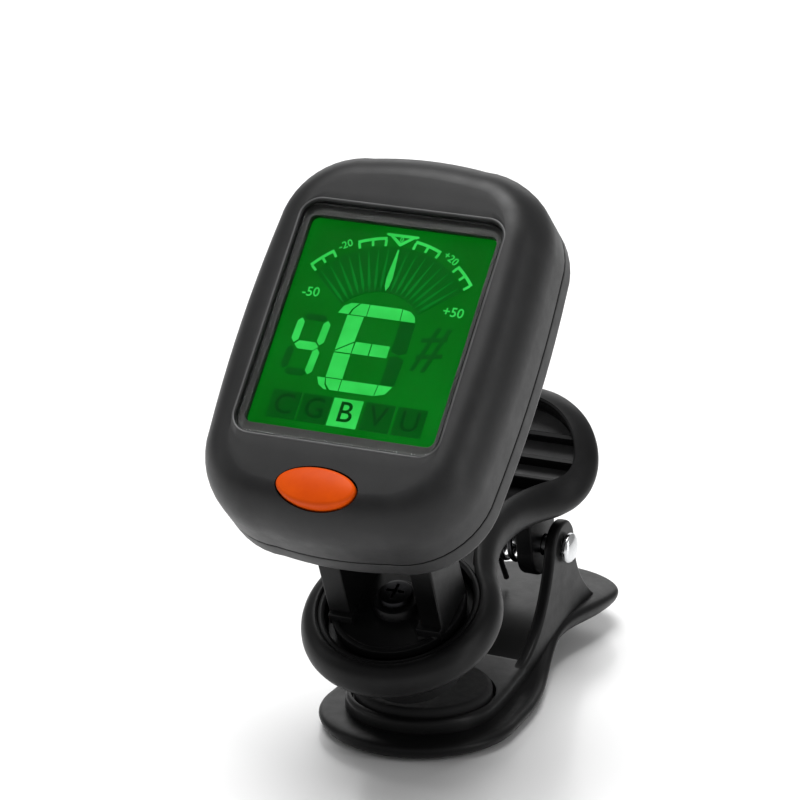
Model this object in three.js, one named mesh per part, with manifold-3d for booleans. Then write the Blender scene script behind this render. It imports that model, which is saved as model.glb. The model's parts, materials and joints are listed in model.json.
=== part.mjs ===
// Clip-on instrument tuner: a small display head on a swivelling, tilting neck,
// carried by a spring clamp that grips a headstock.
//
// Millimetres, +Z up. +X is the right-hand side of the display, +Y points to the
// back of the clamp, and Z = 0 is the flat underside of the lower jaw.

import * as THREE from 'three';
import Module from 'manifold-3d';

const wasm = await Module();
wasm.setup();

// ---------------------------------------------------------------- driving sizes

const gap = 0.3;                       // clearance between neighbouring pieces
const wall = 1.8;                      // thickness of the moulded case walls

// Display head, in its own frame: x right, y up the face, z out of the face.
const faceWidth = 40;
const faceHeight = 55.5;
const faceMiddle = -0.8;               // height of the outline's middle above the display's middle
const faceCorner = 11.5;
const crown = 2.0;                     // front of the case above the display plane
const caseBack = -13.0;
const partingLine = -9.2;
const backFloor = -11.35;              // inner face of the back plate
const headRecline = THREE.MathUtils.degToRad(46);

// Display stack, front to back, as heights above the display plane.
const windowWidth = 28.5;
const windowHeight = 34;
const screenWidth = 26.5;
const screenHeight = 30.5;
const lensSeat = 0.7;
const lensThickness = 0.7;
const panelFront = -gap;
const panelBack = -1.7;
const panelHalf = 14.3;
const panelLow = -16.5;
const panelHigh = 17.0;
const guideFront = panelBack - gap;
const guideBack = -3.7;
const boardFront = -5.0;
const boardBack = -6.0;
const stripThickness = 0.4;            // sheet metal of the battery contacts

// Battery: a 20 mm coin cell.
const cellRadius = 10;
const cellThickness = 3.2;
const cellHeightOnBack = 7;
const cellBack = -10.9;
const pickupRadius = 5.5;
const pickupThickness = 0.6;

// Small screws, bores and knuckles.
const axleRadius = 1.1;
const axleBore = axleRadius + gap;
const boltHeadRadius = 2.15;
const boltHeadHeight = 1.0;
const swivelScrewRadius = 1.2;
const swivelScrewHead = 2.4;
const caseScrewHead = 1.5;
const caseScrewRadius = 0.75;
const caseScrewHole = 1.05;
const beyond = 6;                      // how far cutters run past what they cut

// Neck: hinge between head and ears, and the turntable under the ears.
const hingeAboveTable = 18;
const hingeOnHead = new THREE.Vector3(0, -17.4, -16.8);   // in the head's frame
const knuckleHalf = 4.8;
const knuckleRadius = 3.5;
const earInner = knuckleHalf + gap;
const earOuter = earInner + 3.3;
const boltPocketRadius = 2.5;
const boltPocketDepth = 1.4;
const tableRadius = 9.2;
const tableThickness = 1.6;
const hubRadius = 3.2;
const hubHeight = 1.0;

// Upper jaw: a front ring that holds the turntable, a waist, and a rear finger ring.
const swivelTilt = THREE.MathUtils.degToRad(26);
const swivelPlace = new THREE.Vector3(0, 0, 20.5);
const frontRingRadius = 13.8;
const frontRingDepth = 5.6;
const swivelRecessRadius = 10.2;
const swivelRecessFloor = -2.7;
const padBossRadius = 6.4;
const padBossEnd = -9.6;
const upperPadRadius = 7.4;
const upperPadFace = -12.5;
const upperPadSleeveTop = -8.2;
const waistHalf = 7.75;
const waistBottom = 22.4;
const waistTop = 27.0;
const fingerTilt = THREE.MathUtils.degToRad(48);
const fingerPlace = new THREE.Vector3(0, 40, 26.6);
const fingerRadius = 12.4;
const fingerHalfDepth = 2.5;
const fingerRecessRadius = 8.6;
const fingerRecessFloor = -0.9;
const ribSpots = [-2.4, 1.35, 5.1];
const ribHalfWidth = 0.4;
const ribHeight = 1.2;
const rimRound = 1.6;                  // rounding of both rings' outer edges

// Clamp pivot and lower jaw.
const pivotY = 36;
const pivotZ = 17.2;
const pinRadius = 1.3;
const lugInner = 4;
const lugOuter = 6.5;
const lugRadius = 4.4;
const eyeRadius = 3.9;
const lowerWallInner = 7.9;
const lowerWallOuter = 9.6;
const padCentreY = 8.5;
const padRadius = 9.5;
const padBottom = 3.7;
const padTop = 5.6;
const platformTop = 4.5;

// ---------------------------------------------------------------- materials

function plastic(colour, roughness) {
  return new THREE.MeshStandardMaterial({ color: colour, roughness, metalness: 0 });
}

function metal(colour, roughness) {
  return new THREE.MeshStandardMaterial({ color: colour, roughness, metalness: 1 });
}

const caseBlack = 0x1c1c1e;
const jawBlack = 0x18181a;
const rubberBlack = 0x101011;
const steel = 0xb9bcc0;
const chrome = 0xd6d8da;
const brass = 0xb9974b;

// ---------------------------------------------------------------- geometry helpers

function toSolid(geometry) {
  const bare = geometry.clone();
  bare.deleteAttribute('normal');
  bare.deleteAttribute('uv');
  const merged = mergePoints(bare);
  const mesh = new wasm.Mesh({ numProp: 3, vertProperties: merged.points, triVerts: merged.triangles });
  return new wasm.Manifold(mesh);
}

// Joins corners that share a place, so that the triangles form one closed skin.
function mergePoints(geometry) {
  const position = geometry.getAttribute('position');
  const index = geometry.getIndex();
  const count = index ? index.count : position.count;
  const numberOf = new Map();
  const points = [];
  const triangles = [];
  const grid = 1e5;
  for (let corner = 0; corner < count; corner += 3) {
    const trio = [];
    for (let k = 0; k < 3; k += 1) {
      const source = index ? index.getX(corner + k) : corner + k;
      const place = [position.getX(source), position.getY(source), position.getZ(source)];
      const key = place.map((value) => Math.round(value * grid)).join(',');
      if (!numberOf.has(key)) {
        numberOf.set(key, points.length / 3);
        points.push(...place);
      }
      trio.push(numberOf.get(key));
    }
    if (trio[0] !== trio[1] && trio[1] !== trio[2] && trio[2] !== trio[0]) {
      triangles.push(...trio);
    }
  }
  return { points: new Float32Array(points), triangles: new Uint32Array(triangles) };
}

function toGeometry(solid) {
  const mesh = solid.getMesh();
  const geometry = new THREE.BufferGeometry();
  geometry.setAttribute('position', new THREE.BufferAttribute(mesh.vertProperties, 3));
  geometry.setIndex(new THREE.BufferAttribute(mesh.triVerts, 1));
  geometry.computeVertexNormals();
  return geometry;
}

function join(first, ...others) {
  return others.reduce((sum, other) => sum.add(other), first);
}

function cut(first, ...others) {
  return others.reduce((rest, other) => rest.subtract(other), first);
}

function piece(name, solid, material) {
  const mesh = new THREE.Mesh(toGeometry(solid), material);
  mesh.name = name;
  return mesh;
}

// A box between two corners.
function block(x0, x1, y0, y1, z0, z1) {
  const geometry = new THREE.BoxGeometry(x1 - x0, y1 - y0, z1 - z0);
  geometry.translate((x0 + x1) / 2, (y0 + y1) / 2, (z0 + z1) / 2);
  return geometry;
}

// A round bar standing along z.
function rod(radius, x, y, z0, z1, segments = 20) {
  const geometry = new THREE.CylinderGeometry(radius, radius, z1 - z0, segments);
  geometry.rotateX(Math.PI / 2);
  geometry.translate(x, y, (z0 + z1) / 2);
  return geometry;
}

// A round bar lying along x.
function crossRod(radius, x0, x1, y, z, segments = 20) {
  const geometry = new THREE.CylinderGeometry(radius, radius, x1 - x0, segments);
  geometry.rotateZ(Math.PI / 2);
  geometry.translate((x0 + x1) / 2, y, z);
  return geometry;
}

// A flat outline drawn in x and y, thickened from z0 to z1.
function slab(shape, z0, z1, curveSegments = 8) {
  const geometry = new THREE.ExtrudeGeometry(shape, {
    depth: z1 - z0, bevelEnabled: false, curveSegments,
  });
  geometry.translate(0, 0, z0);
  return geometry;
}

// A side view drawn in y and z, thickened from x0 to x1.
function sideSlab(shape, x0, x1, curveSegments = 8) {
  const geometry = new THREE.ExtrudeGeometry(shape, {
    depth: x1 - x0, bevelEnabled: false, curveSegments,
  });
  const turn = new THREE.Matrix4().makeBasis(
    new THREE.Vector3(0, 1, 0), new THREE.Vector3(0, 0, 1), new THREE.Vector3(1, 0, 0),
  );
  geometry.applyMatrix4(turn);
  geometry.translate(x0, 0, 0);
  return geometry;
}

function roundedRectangle(width, height, corner, middleY = 0) {
  const x = width / 2;
  const low = middleY - height / 2;
  const high = middleY + height / 2;
  const shape = new THREE.Shape();
  shape.moveTo(-x + corner, low);
  shape.lineTo(x - corner, low);
  shape.absarc(x - corner, low + corner, corner, -Math.PI / 2, 0);
  shape.absarc(x - corner, high - corner, corner, 0, Math.PI / 2);
  shape.absarc(-x + corner, high - corner, corner, Math.PI / 2, Math.PI);
  shape.absarc(-x + corner, low + corner, corner, Math.PI, 1.5 * Math.PI);
  return shape;
}

// The frame of a part that leans back about the x axis.
function leaning(angle, place) {
  const matrix = new THREE.Matrix4().makeRotationX(angle);
  matrix.setPosition(place);
  return matrix;
}

function placed(geometry, matrix) {
  return geometry.clone().applyMatrix4(matrix);
}

// ---------------------------------------------------------------- display head

// The head's outline: straight-sided with big corners and slightly bowed sides.
function faceOutline(inset) {
  const bow = 0.6;
  const x = faceWidth / 2 - inset;
  const corner = faceCorner - inset;
  const low = faceMiddle - faceHeight / 2 + inset;
  const high = faceMiddle + faceHeight / 2 - inset;
  const sideX = x - bow;
  const lowY = low + bow;
  const highY = high - bow;
  const shape = new THREE.Shape();
  shape.moveTo(-sideX + corner, lowY);
  shape.quadraticCurveTo(0, low - bow, sideX - corner, lowY);
  shape.absarc(sideX - corner, lowY + corner, corner, -Math.PI / 2, 0);
  shape.quadraticCurveTo(x + bow, faceMiddle, sideX, highY - corner);
  shape.absarc(sideX - corner, highY - corner, corner, 0, Math.PI / 2);
  shape.quadraticCurveTo(0, high + bow, -sideX + corner, highY);
  shape.absarc(-sideX + corner, highY - corner, corner, Math.PI / 2, Math.PI);
  shape.quadraticCurveTo(-x - bow, faceMiddle, -sideX, lowY + corner);
  shape.absarc(-sideX + corner, lowY + corner, corner, Math.PI, 1.5 * Math.PI);
  return shape;
}

// The outline thickened from back to front, with its edges rounded at both ends.
function cushion(inset, back, front, roundWidth, roundDepth) {
  const geometry = new THREE.ExtrudeGeometry(faceOutline(inset + roundWidth), {
    depth: front - back - 2 * roundDepth,
    bevelThickness: roundDepth,
    bevelSize: roundWidth,
    bevelSegments: 3,
    curveSegments: 6,
  });
  geometry.translate(0, 0, back + roundDepth);
  return toSolid(geometry);
}

const bigBlockHalf = 60;

function layer(z0, z1) {
  return toSolid(block(-bigBlockHalf, bigBlockHalf, -bigBlockHalf, bigBlockHalf, z0, z1));
}

const screwSpots = [
  new THREE.Vector2(-13, 19.1),
  new THREE.Vector2(13, 19.1),
  new THREE.Vector2(-13, -20.8),
  new THREE.Vector2(13, -20.8),
];
const postEnd = -9.0;
const postRadius = 1.9;
const postHoleEnd = -3;
const buttonHeight = -23.4;
const buttonWidth = 11;
const buttonDepth = 5.3;
const buttonTop = 2.9;
const flangeHalfWidth = 7;
const flangeHalfHeight = 1.9;
const flangeTop = -0.9;
const flangeBottom = -1.9;

function buttonOutline(margin) {
  const shape = new THREE.Shape();
  shape.absellipse(0, buttonHeight, buttonWidth / 2 + margin, buttonDepth / 2 + margin, 0, 2 * Math.PI);
  return shape;
}

function frontShell() {
  const shoulderWidth = 5;
  const shoulderDepth = 7;
  const outside = cushion(0, 2 * caseBack, crown, shoulderWidth, shoulderDepth);
  const inside = cushion(wall, 2 * caseBack, 0, shoulderWidth - wall, shoulderDepth - wall);
  const skin = cut(outside.intersect(layer(partingLine + gap / 2, crown + 1)), inside);
  const posts = screwSpots.map((spot) => toSolid(rod(postRadius, spot.x, spot.y, postEnd, 0.4, 14)));
  const holes = screwSpots.map((spot) => toSolid(
    rod(caseScrewHole, spot.x, spot.y, postEnd - 1, postHoleEnd, 10),
  ));
  const seat = toSolid(slab(roundedRectangle(windowWidth, windowHeight, 2.5), lensSeat, crown + 1, 4));
  const aperture = toSolid(slab(roundedRectangle(screenWidth, screenHeight, 1), -1, crown, 4));
  const buttonHole = toSolid(slab(buttonOutline(gap), -3, crown + 1, 10));
  const flangePocket = toSolid(block(
    -flangeHalfWidth - 2 * gap, flangeHalfWidth + 2 * gap,
    buttonHeight - flangeHalfHeight - 0.5, buttonHeight + flangeHalfHeight + 0.5,
    boardFront + 1, flangeTop + gap,
  ));
  return cut(join(skin, ...posts), ...holes, seat, aperture, buttonHole, flangePocket);
}

const doorWidth = 19.4;
const doorLipWidth = 21.6;
const doorBottom = -4.3;
const doorStep = -12.05;
const doorInside = backFloor;
const doorReach = 40;                  // past the top edge of the case
const backEdgeRound = 1.3;
const screwHeadTop = caseBack + 0.15;
const screwHeadSeat = -11.8;

// The back of the case without its openings, rounded along its rear edge.
function backCushion() {
  return cushion(0, caseBack, crown, backEdgeRound, backEdgeRound);
}

function backShell() {
  const railHalf = 12.8;
  const railTop = 19.5;
  const railFront = -10.1;
  const rootBack = backFloor - 0.45;
  const bossRadius = 2.0;
  const solid = backCushion().intersect(layer(caseBack - 1, partingLine - gap / 2));
  const hollow = cushion(wall, 2 * caseBack, crown, 1, 1).intersect(layer(backFloor, crown));
  const plate = cut(solid, hollow);
  const rails = toSolid(block(-railHalf, railHalf, doorBottom - 2, railTop, rootBack, railFront));
  const bosses = screwSpots.map((spot) => toSolid(
    rod(bossRadius, spot.x, spot.y, rootBack, postEnd - gap, 14),
  ));
  const web = toSolid(knuckleWeb());
  const barrel = toSolid(
    crossRod(knuckleRadius, -knuckleHalf, knuckleHalf, hingeOnHead.y, hingeOnHead.z, 24),
  );
  const whole = join(plate, rails, ...bosses, web, barrel);

  const outerSlot = toSolid(block(
    -doorWidth / 2 - gap, doorWidth / 2 + gap, doorBottom - gap, doorReach,
    caseBack - 1, doorStep - gap + 0.01,
  ));
  const innerSlot = toSolid(block(
    -doorLipWidth / 2 - gap, doorLipWidth / 2 + gap, doorBottom - gap, doorReach,
    doorStep - gap, doorInside + gap,
  ));
  const cellWindow = toSolid(block(-10.5, 10.5, -3.6, 18.3, backFloor - 0.85, -9.5));
  const pinBore = toSolid(crossRod(axleBore, -beyond, beyond, hingeOnHead.y, hingeOnHead.z, 16));
  const counterbores = screwSpots.map((spot) => toSolid(
    rod(caseScrewHead + gap, spot.x, spot.y, caseBack - 1, screwHeadSeat + gap, 14),
  ));
  const clearHoles = screwSpots.map((spot) => toSolid(
    rod(caseScrewHole, spot.x, spot.y, caseBack, postEnd, 10),
  ));
  return cut(whole, outerSlot, innerSlot, cellWindow, pinBore, ...counterbores, ...clearHoles);
}

// The short neck between the back of the case and the hinge barrel.
function knuckleWeb() {
  const y = hingeOnHead.y;
  const z = hingeOnHead.z;
  const reach = knuckleRadius - 0.05;
  const rootHalf = 5.2;
  const shape = new THREE.Shape();
  shape.moveTo(y - rootHalf, caseBack + 0.5);
  shape.lineTo(y + rootHalf, caseBack + 0.5);
  shape.lineTo(y + reach, z);
  shape.lineTo(y - reach, z);
  return sideSlab(shape, -knuckleHalf, knuckleHalf);
}

const guideHigh = 14.4;

function windowLens() {
  const outline = roundedRectangle(windowWidth - 2 * gap, windowHeight - 2 * gap, 2.3);
  return toSolid(slab(outline, lensSeat + gap, lensSeat + gap + lensThickness, 4));
}

function lcdPanel() {
  return toSolid(block(-panelHalf, panelHalf, panelLow, panelHigh, panelBack, panelFront));
}

function lcdBacklight() {
  return toSolid(block(-panelHalf, panelHalf, panelLow, guideHigh, guideBack, guideFront));
}

function lcdConnector() {
  return toSolid(block(-13, 13, guideHigh + 0.5, guideHigh + 2.5, boardFront + gap, guideFront));
}

// The board is notched at both lower corners, round the screw posts.
function circuitBoard() {
  const wide = 16;
  const narrow = 10.8;
  const low = -24.2;
  const notchTop = -18.4;
  const high = 17.2;
  const shape = new THREE.Shape();
  shape.moveTo(-narrow, low);
  shape.lineTo(narrow, low);
  shape.lineTo(narrow, notchTop);
  shape.lineTo(wide, notchTop);
  shape.lineTo(wide, high);
  shape.lineTo(-wide, high);
  shape.lineTo(-wide, notchTop);
  shape.lineTo(-narrow, notchTop);
  return toSolid(slab(shape, boardBack, boardFront));
}

function tactSwitch() {
  const plungerTop = -3.3;
  const base = toSolid(block(
    -2, 2, buttonHeight - 1.4, buttonHeight + 1.6, boardFront + gap, plungerTop - 0.4,
  ));
  const plunger = toSolid(rod(0.9, 0, buttonHeight, plungerTop - 0.6, plungerTop, 12));
  return join(base, plunger);
}

function tunerChip() {
  const side = 5;
  const x = -14;
  const y = -16;
  return toSolid(block(x, x + side, y, y + side, boardBack - gap - 1, boardBack - gap));
}

function backlightLed(side) {
  const x = side * 8;
  const top = panelLow - 0.4;
  return toSolid(block(x - 1.5, x + 1.5, top - 1.3, top, boardFront + gap, -2.6));
}

function piezoSensor() {
  return toSolid(rod(pickupRadius, 2, -14, cellBack, cellBack + pickupThickness, 20));
}

function batteryCell() {
  const edge = 0.3;
  const back = cellBack;
  const front = cellBack + cellThickness;
  const profile = [
    new THREE.Vector2(0, back),
    new THREE.Vector2(cellRadius - edge, back),
    new THREE.Vector2(cellRadius, back + edge),
    new THREE.Vector2(cellRadius, front - 3 * edge),
    new THREE.Vector2(cellRadius - 1, front - 2 * edge),
    new THREE.Vector2(cellRadius - 1.3, front),
    new THREE.Vector2(0, front),
  ];
  const geometry = new THREE.LatheGeometry(profile, 24);
  geometry.rotateX(Math.PI / 2);
  geometry.translate(0, cellHeightOnBack, 0);
  return toSolid(geometry);
}

// A springy strip under the cell, with a raised tongue.
function contactNegative() {
  const root = boardBack - gap;
  const thickness = 0.35;
  const tongue = -7.0;
  const shape = new THREE.Shape();
  shape.moveTo(-1, root);
  shape.lineTo(-1, root - thickness);
  shape.lineTo(6, root - thickness);
  shape.lineTo(9, tongue - thickness);
  shape.lineTo(12, tongue - thickness);
  shape.lineTo(12, tongue);
  shape.lineTo(9.2, tongue);
  shape.lineTo(6.2, root);
  return toSolid(sideSlab(shape, -2, 2));
}

// A strip that stands beside the cell and touches its rim.
function contactPositive() {
  const near = cellHeightOnBack + cellRadius + gap;
  const half = 4;
  const root = boardBack - gap;
  const upright = toSolid(block(-half, half, near, near + stripThickness, cellBack + 0.5, root));
  const foot = toSolid(block(-half, half, near, near + 2, root - stripThickness, root));
  return join(upright, foot);
}

function caseScrew(spot) {
  const reach = 0.9;
  const half = 0.2;
  const floor = screwHeadTop + 0.45;
  const head = toSolid(rod(caseScrewHead, spot.x, spot.y, screwHeadTop, screwHeadSeat, 14));
  const shank = toSolid(rod(caseScrewRadius, spot.x, spot.y, screwHeadSeat - 0.1, postHoleEnd - 0.6, 10));
  const slotA = toSolid(block(spot.x - reach, spot.x + reach, spot.y - half, spot.y + half, caseBack, floor));
  const slotB = toSolid(block(spot.x - half, spot.x + half, spot.y - reach, spot.y + reach, caseBack, floor));
  return cut(join(head, shank), slotA, slotB);
}

function powerButton() {
  const cap = toSolid(slab(buttonOutline(0), flangeTop - gap, buttonTop, 10));
  const flange = toSolid(block(
    -flangeHalfWidth, flangeHalfWidth,
    buttonHeight - flangeHalfHeight, buttonHeight + flangeHalfHeight, flangeBottom, flangeTop,
  ));
  const stem = toSolid(rod(1.4, 0, buttonHeight, flangeBottom - 0.8, flangeBottom + 0.4, 12));
  return join(cap, flange, stem);
}

function batteryDoor() {
  const grooveSpots = [-0.5, 1.9];
  const grooveHalf = 5;
  const grooveRadius = 0.8;
  const outer = toSolid(block(
    -doorWidth / 2, doorWidth / 2, doorBottom, doorReach, caseBack - 1, doorStep + 0.1,
  ));
  const inner = toSolid(block(
    -doorLipWidth / 2, doorLipWidth / 2, doorBottom, doorReach, doorStep, doorInside,
  ));
  const grooves = grooveSpots.map((y) => toSolid(
    crossRod(grooveRadius, -grooveHalf, grooveHalf, y, caseBack - gap, 12),
  ));
  return cut(join(outer, inner).intersect(backCushion()), ...grooves);
}

// The head hangs on the hinge at the top of the ears.
function headPosition() {
  const hinge = new THREE.Vector3(0, 0, hingeAboveTable).applyMatrix4(leaning(swivelTilt, swivelPlace));
  const barrel = hingeOnHead.clone().applyMatrix4(leaning(headRecline, new THREE.Vector3()));
  return hinge.sub(barrel);
}

function displayHead() {
  const group = new THREE.Group();
  group.rotation.x = headRecline;
  group.position.copy(headPosition());
  group.add(piece('front_shell', frontShell(), plastic(caseBlack, 0.42)));
  group.add(piece('back_shell', backShell(), plastic(caseBlack, 0.48)));
  group.add(piece('window_lens', windowLens(), plastic(0x0c1a10, 0.05)));
  group.add(piece('lcd_panel', lcdPanel(), plastic(0x0a7a1c, 0.15)));
  group.add(piece('lcd_backlight', lcdBacklight(), plastic(0xd8e8d0, 0.4)));
  group.add(piece('lcd_connector', lcdConnector(), plastic(0x8a8f96, 0.7)));
  group.add(piece('circuit_board', circuitBoard(), plastic(0x14592e, 0.45)));
  group.add(piece('tact_switch', tactSwitch(), metal(steel, 0.35)));
  group.add(piece('tuner_chip', tunerChip(), plastic(0x151515, 0.5)));
  group.add(piece('backlight_led_left', backlightLed(-1), plastic(0xe6e6da, 0.3)));
  group.add(piece('backlight_led_right', backlightLed(1), plastic(0xe6e6da, 0.3)));
  group.add(piece('piezo_sensor', piezoSensor(), metal(brass, 0.3)));
  group.add(piece('battery_cell', batteryCell(), metal(steel, 0.25)));
  group.add(piece('battery_contact_negative', contactNegative(), metal(steel, 0.3)));
  group.add(piece('battery_contact_positive', contactPositive(), metal(steel, 0.3)));
  screwSpots.forEach((spot, number) => {
    group.add(piece(`case_screw_${number + 1}`, caseScrew(spot), metal(steel, 0.35)));
  });
  group.add(piece('power_button', powerButton(), plastic(0xe8640e, 0.35)));
  group.add(piece('battery_door', batteryDoor(), plastic(caseBlack, 0.5)));
  return group;
}

// ---------------------------------------------------------------- neck

// One ear in side view: a wide foot that narrows to a round eye.
function earShape() {
  const eye = 3.5;
  const shape = new THREE.Shape();
  shape.moveTo(-4.2, -0.4);
  shape.lineTo(7.2, -0.4);
  shape.lineTo(eye, hingeAboveTable - 8);
  shape.lineTo(eye, hingeAboveTable);
  shape.absarc(0, hingeAboveTable, eye, 0, Math.PI);
  return shape;
}

function turntable() {
  const disc = toSolid(rod(tableRadius, 0, 0, -tableThickness, 0, 40));
  const hub = toSolid(rod(hubRadius, 0, 0, -0.5, hubHeight, 20));
  const screwHole = toSolid(rod(swivelScrewRadius + 0.4, 0, 0, -3, 3, 16));
  const roundLimit = toSolid(rod(tableRadius, 0, 0, -1, hingeAboveTable + beyond, 40));
  const toeMiddle = 6.4;
  const toeHalf = 1.8;
  let body = join(disc, hub);
  for (const side of [-1, 1]) {
    const x0 = side > 0 ? earInner : -earOuter;
    const ear = toSolid(sideSlab(earShape(), x0, x0 + earOuter - earInner, 12)).intersect(roundLimit);
    const toeX = side * toeMiddle;
    const toe = toSolid(block(toeX - toeHalf, toeX + toeHalf, -5, -2, -0.5, hubHeight));
    body = join(body, ear, toe);
  }
  const far = earOuter + beyond;
  const pocket = earOuter - boltPocketDepth;
  const pinBore = toSolid(crossRod(axleBore, -far, far, 0, hingeAboveTable, 16));
  const headPocket = toSolid(crossRod(boltPocketRadius, pocket, far, 0, hingeAboveTable, 20));
  const nutPocket = toSolid(crossRod(boltPocketRadius, -far, -pocket, 0, hingeAboveTable, 6));
  return cut(body, screwHole, pinBore, headPocket, nutPocket);
}

function hingeScrew() {
  const top = earOuter - 0.1;
  const seat = top - boltHeadHeight;
  const slotReach = 1.6;
  const slotHalf = 0.3;
  const head = toSolid(crossRod(boltHeadRadius, seat, top, 0, hingeAboveTable, 18));
  const shank = toSolid(crossRod(axleRadius, -earOuter + gap, seat + 0.1, 0, hingeAboveTable, 12));
  const slot = toSolid(block(
    top - 0.4, top + 1, -slotReach, slotReach, hingeAboveTable - slotHalf, hingeAboveTable + slotHalf,
  ));
  return cut(join(head, shank), slot);
}

function hingeNut() {
  const outside = -earOuter + 0.1;
  const nut = toSolid(crossRod(boltHeadRadius, outside, outside + boltHeadHeight, 0, hingeAboveTable, 6));
  return cut(nut, toSolid(crossRod(axleBore, outside - beyond, 0, 0, hingeAboveTable, 12)));
}

function swivelNeck() {
  const group = new THREE.Group();
  group.rotation.x = swivelTilt;
  group.position.copy(swivelPlace);
  group.add(piece('turntable', turntable(), plastic(jawBlack, 0.45)));
  group.add(piece('hinge_screw', hingeScrew(), metal(steel, 0.35)));
  group.add(piece('hinge_nut', hingeNut(), metal(steel, 0.4)));
  group.add(piece('swivel_washer', swivelWasher(), metal(steel, 0.4)));
  group.add(piece('swivel_screw', swivelScrew(), metal(steel, 0.35)));
  group.add(piece('upper_pad', upperPad(), plastic(rubberBlack, 0.85)));
  return group;
}

function swivelWasher() {
  const top = -tableThickness - gap;
  const ring = toSolid(rod(4.6, 0, 0, top - 0.5, top, 24));
  return cut(ring, toSolid(rod(swivelScrewRadius + 0.4, 0, 0, -3, -1, 16)));
}

function swivelScrew() {
  const seat = hubHeight + gap;
  const top = seat + 0.9;
  const head = toSolid(rod(swivelScrewHead, 0, 0, seat, top, 18));
  const shank = toSolid(rod(swivelScrewRadius, 0, 0, -5.2, seat + 0.1, 12));
  const slot = toSolid(block(-1.9, 1.9, -0.3, 0.3, top - 0.4, top + 1));
  return cut(join(head, shank), slot);
}

// ---------------------------------------------------------------- upper jaw

const swivelFrame = leaning(swivelTilt, swivelPlace);
const fingerFrame = leaning(fingerTilt, fingerPlace);

// A point of the swivel plane, or of the finger ring's plane, in side view.
function sidePoint(frame, along, above) {
  const point = new THREE.Vector3(0, along, above).applyMatrix4(frame);
  return new THREE.Vector2(point.y, point.z);
}

// Side view of the lever: the tilted front, the level waist and the raised tail.
function leverSide() {
  const lowFront = sidePoint(swivelFrame, -17, -frontRingDepth);
  const lowBend = sidePoint(swivelFrame, 9, -frontRingDepth);
  const lowTail = sidePoint(fingerFrame, -1.6, -fingerHalfDepth);
  const lowEnd = sidePoint(fingerFrame, 16, -fingerHalfDepth);
  const highEnd = sidePoint(fingerFrame, 16, fingerHalfDepth);
  const highTail = sidePoint(fingerFrame, 0.4, fingerHalfDepth);
  const highBend = sidePoint(swivelFrame, 11, 0);
  const highFront = sidePoint(swivelFrame, -17, 0);
  const shape = new THREE.Shape();
  shape.moveTo(lowFront.x, lowFront.y);
  shape.lineTo(lowBend.x, lowBend.y);
  shape.quadraticCurveTo(15.5, waistBottom, 21, waistBottom);
  shape.lineTo(34, waistBottom);
  shape.quadraticCurveTo(39, waistBottom, lowTail.x, lowTail.y);
  shape.lineTo(lowEnd.x, lowEnd.y);
  shape.lineTo(highEnd.x, highEnd.y);
  shape.lineTo(highTail.x, highTail.y);
  shape.quadraticCurveTo(36, waistTop, 31, waistTop);
  shape.lineTo(19, waistTop);
  shape.quadraticCurveTo(13.4, waistTop, highBend.x, highBend.y);
  shape.lineTo(highFront.x, highFront.y);
  return shape;
}

// Plan view of the waist, which widens at both ends to run into the two rings.
function waistPlan() {
  const frontHalf = 11.6;
  const frontY = 8;
  const tailHalf = 11.4;
  const tailY = 39.2;
  const waistY = 24;
  const shape = new THREE.Shape();
  shape.moveTo(-frontHalf, frontY);
  shape.lineTo(-5, frontY - 6);
  shape.lineTo(5, frontY - 6);
  shape.lineTo(frontHalf, frontY);
  shape.bezierCurveTo(frontHalf - 2.6, frontY + 4.4, waistHalf, waistY - 6, waistHalf, waistY);
  shape.bezierCurveTo(waistHalf, waistY + 6, tailHalf - 2.2, tailY - 4.6, tailHalf, tailY);
  shape.lineTo(4, tailY + 4);
  shape.lineTo(-4, tailY + 4);
  shape.lineTo(-tailHalf, tailY);
  shape.bezierCurveTo(-tailHalf + 2.2, tailY - 4.6, -waistHalf, waistY + 6, -waistHalf, waistY);
  shape.bezierCurveTo(-waistHalf, waistY - 6, -frontHalf + 2.6, frontY + 4.4, -frontHalf, frontY);
  return shape;
}

// A thick disc with rounded edges, standing along z.
function roundedDisc(radius, z0, z1) {
  const circle = new THREE.Shape();
  circle.absarc(0, 0, radius - rimRound, 0, 2 * Math.PI);
  const geometry = new THREE.ExtrudeGeometry(circle, {
    depth: z1 - z0 - 2 * rimRound,
    bevelThickness: rimRound,
    bevelSize: rimRound,
    bevelSegments: 2,
    curveSegments: 36,
  });
  geometry.translate(0, 0, z0 + rimRound);
  return geometry;
}

// One of the two lugs that reach down to the pivot.
function lugShape() {
  const shape = new THREE.Shape();
  shape.moveTo(pivotY - lugRadius, pivotZ);
  shape.absarc(pivotY, pivotZ, lugRadius, Math.PI, 2 * Math.PI);
  shape.lineTo(pivotY + 3.4, waistBottom + 0.8);
  shape.lineTo(pivotY - 5.6, waistBottom + 0.8);
  return shape;
}

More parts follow.
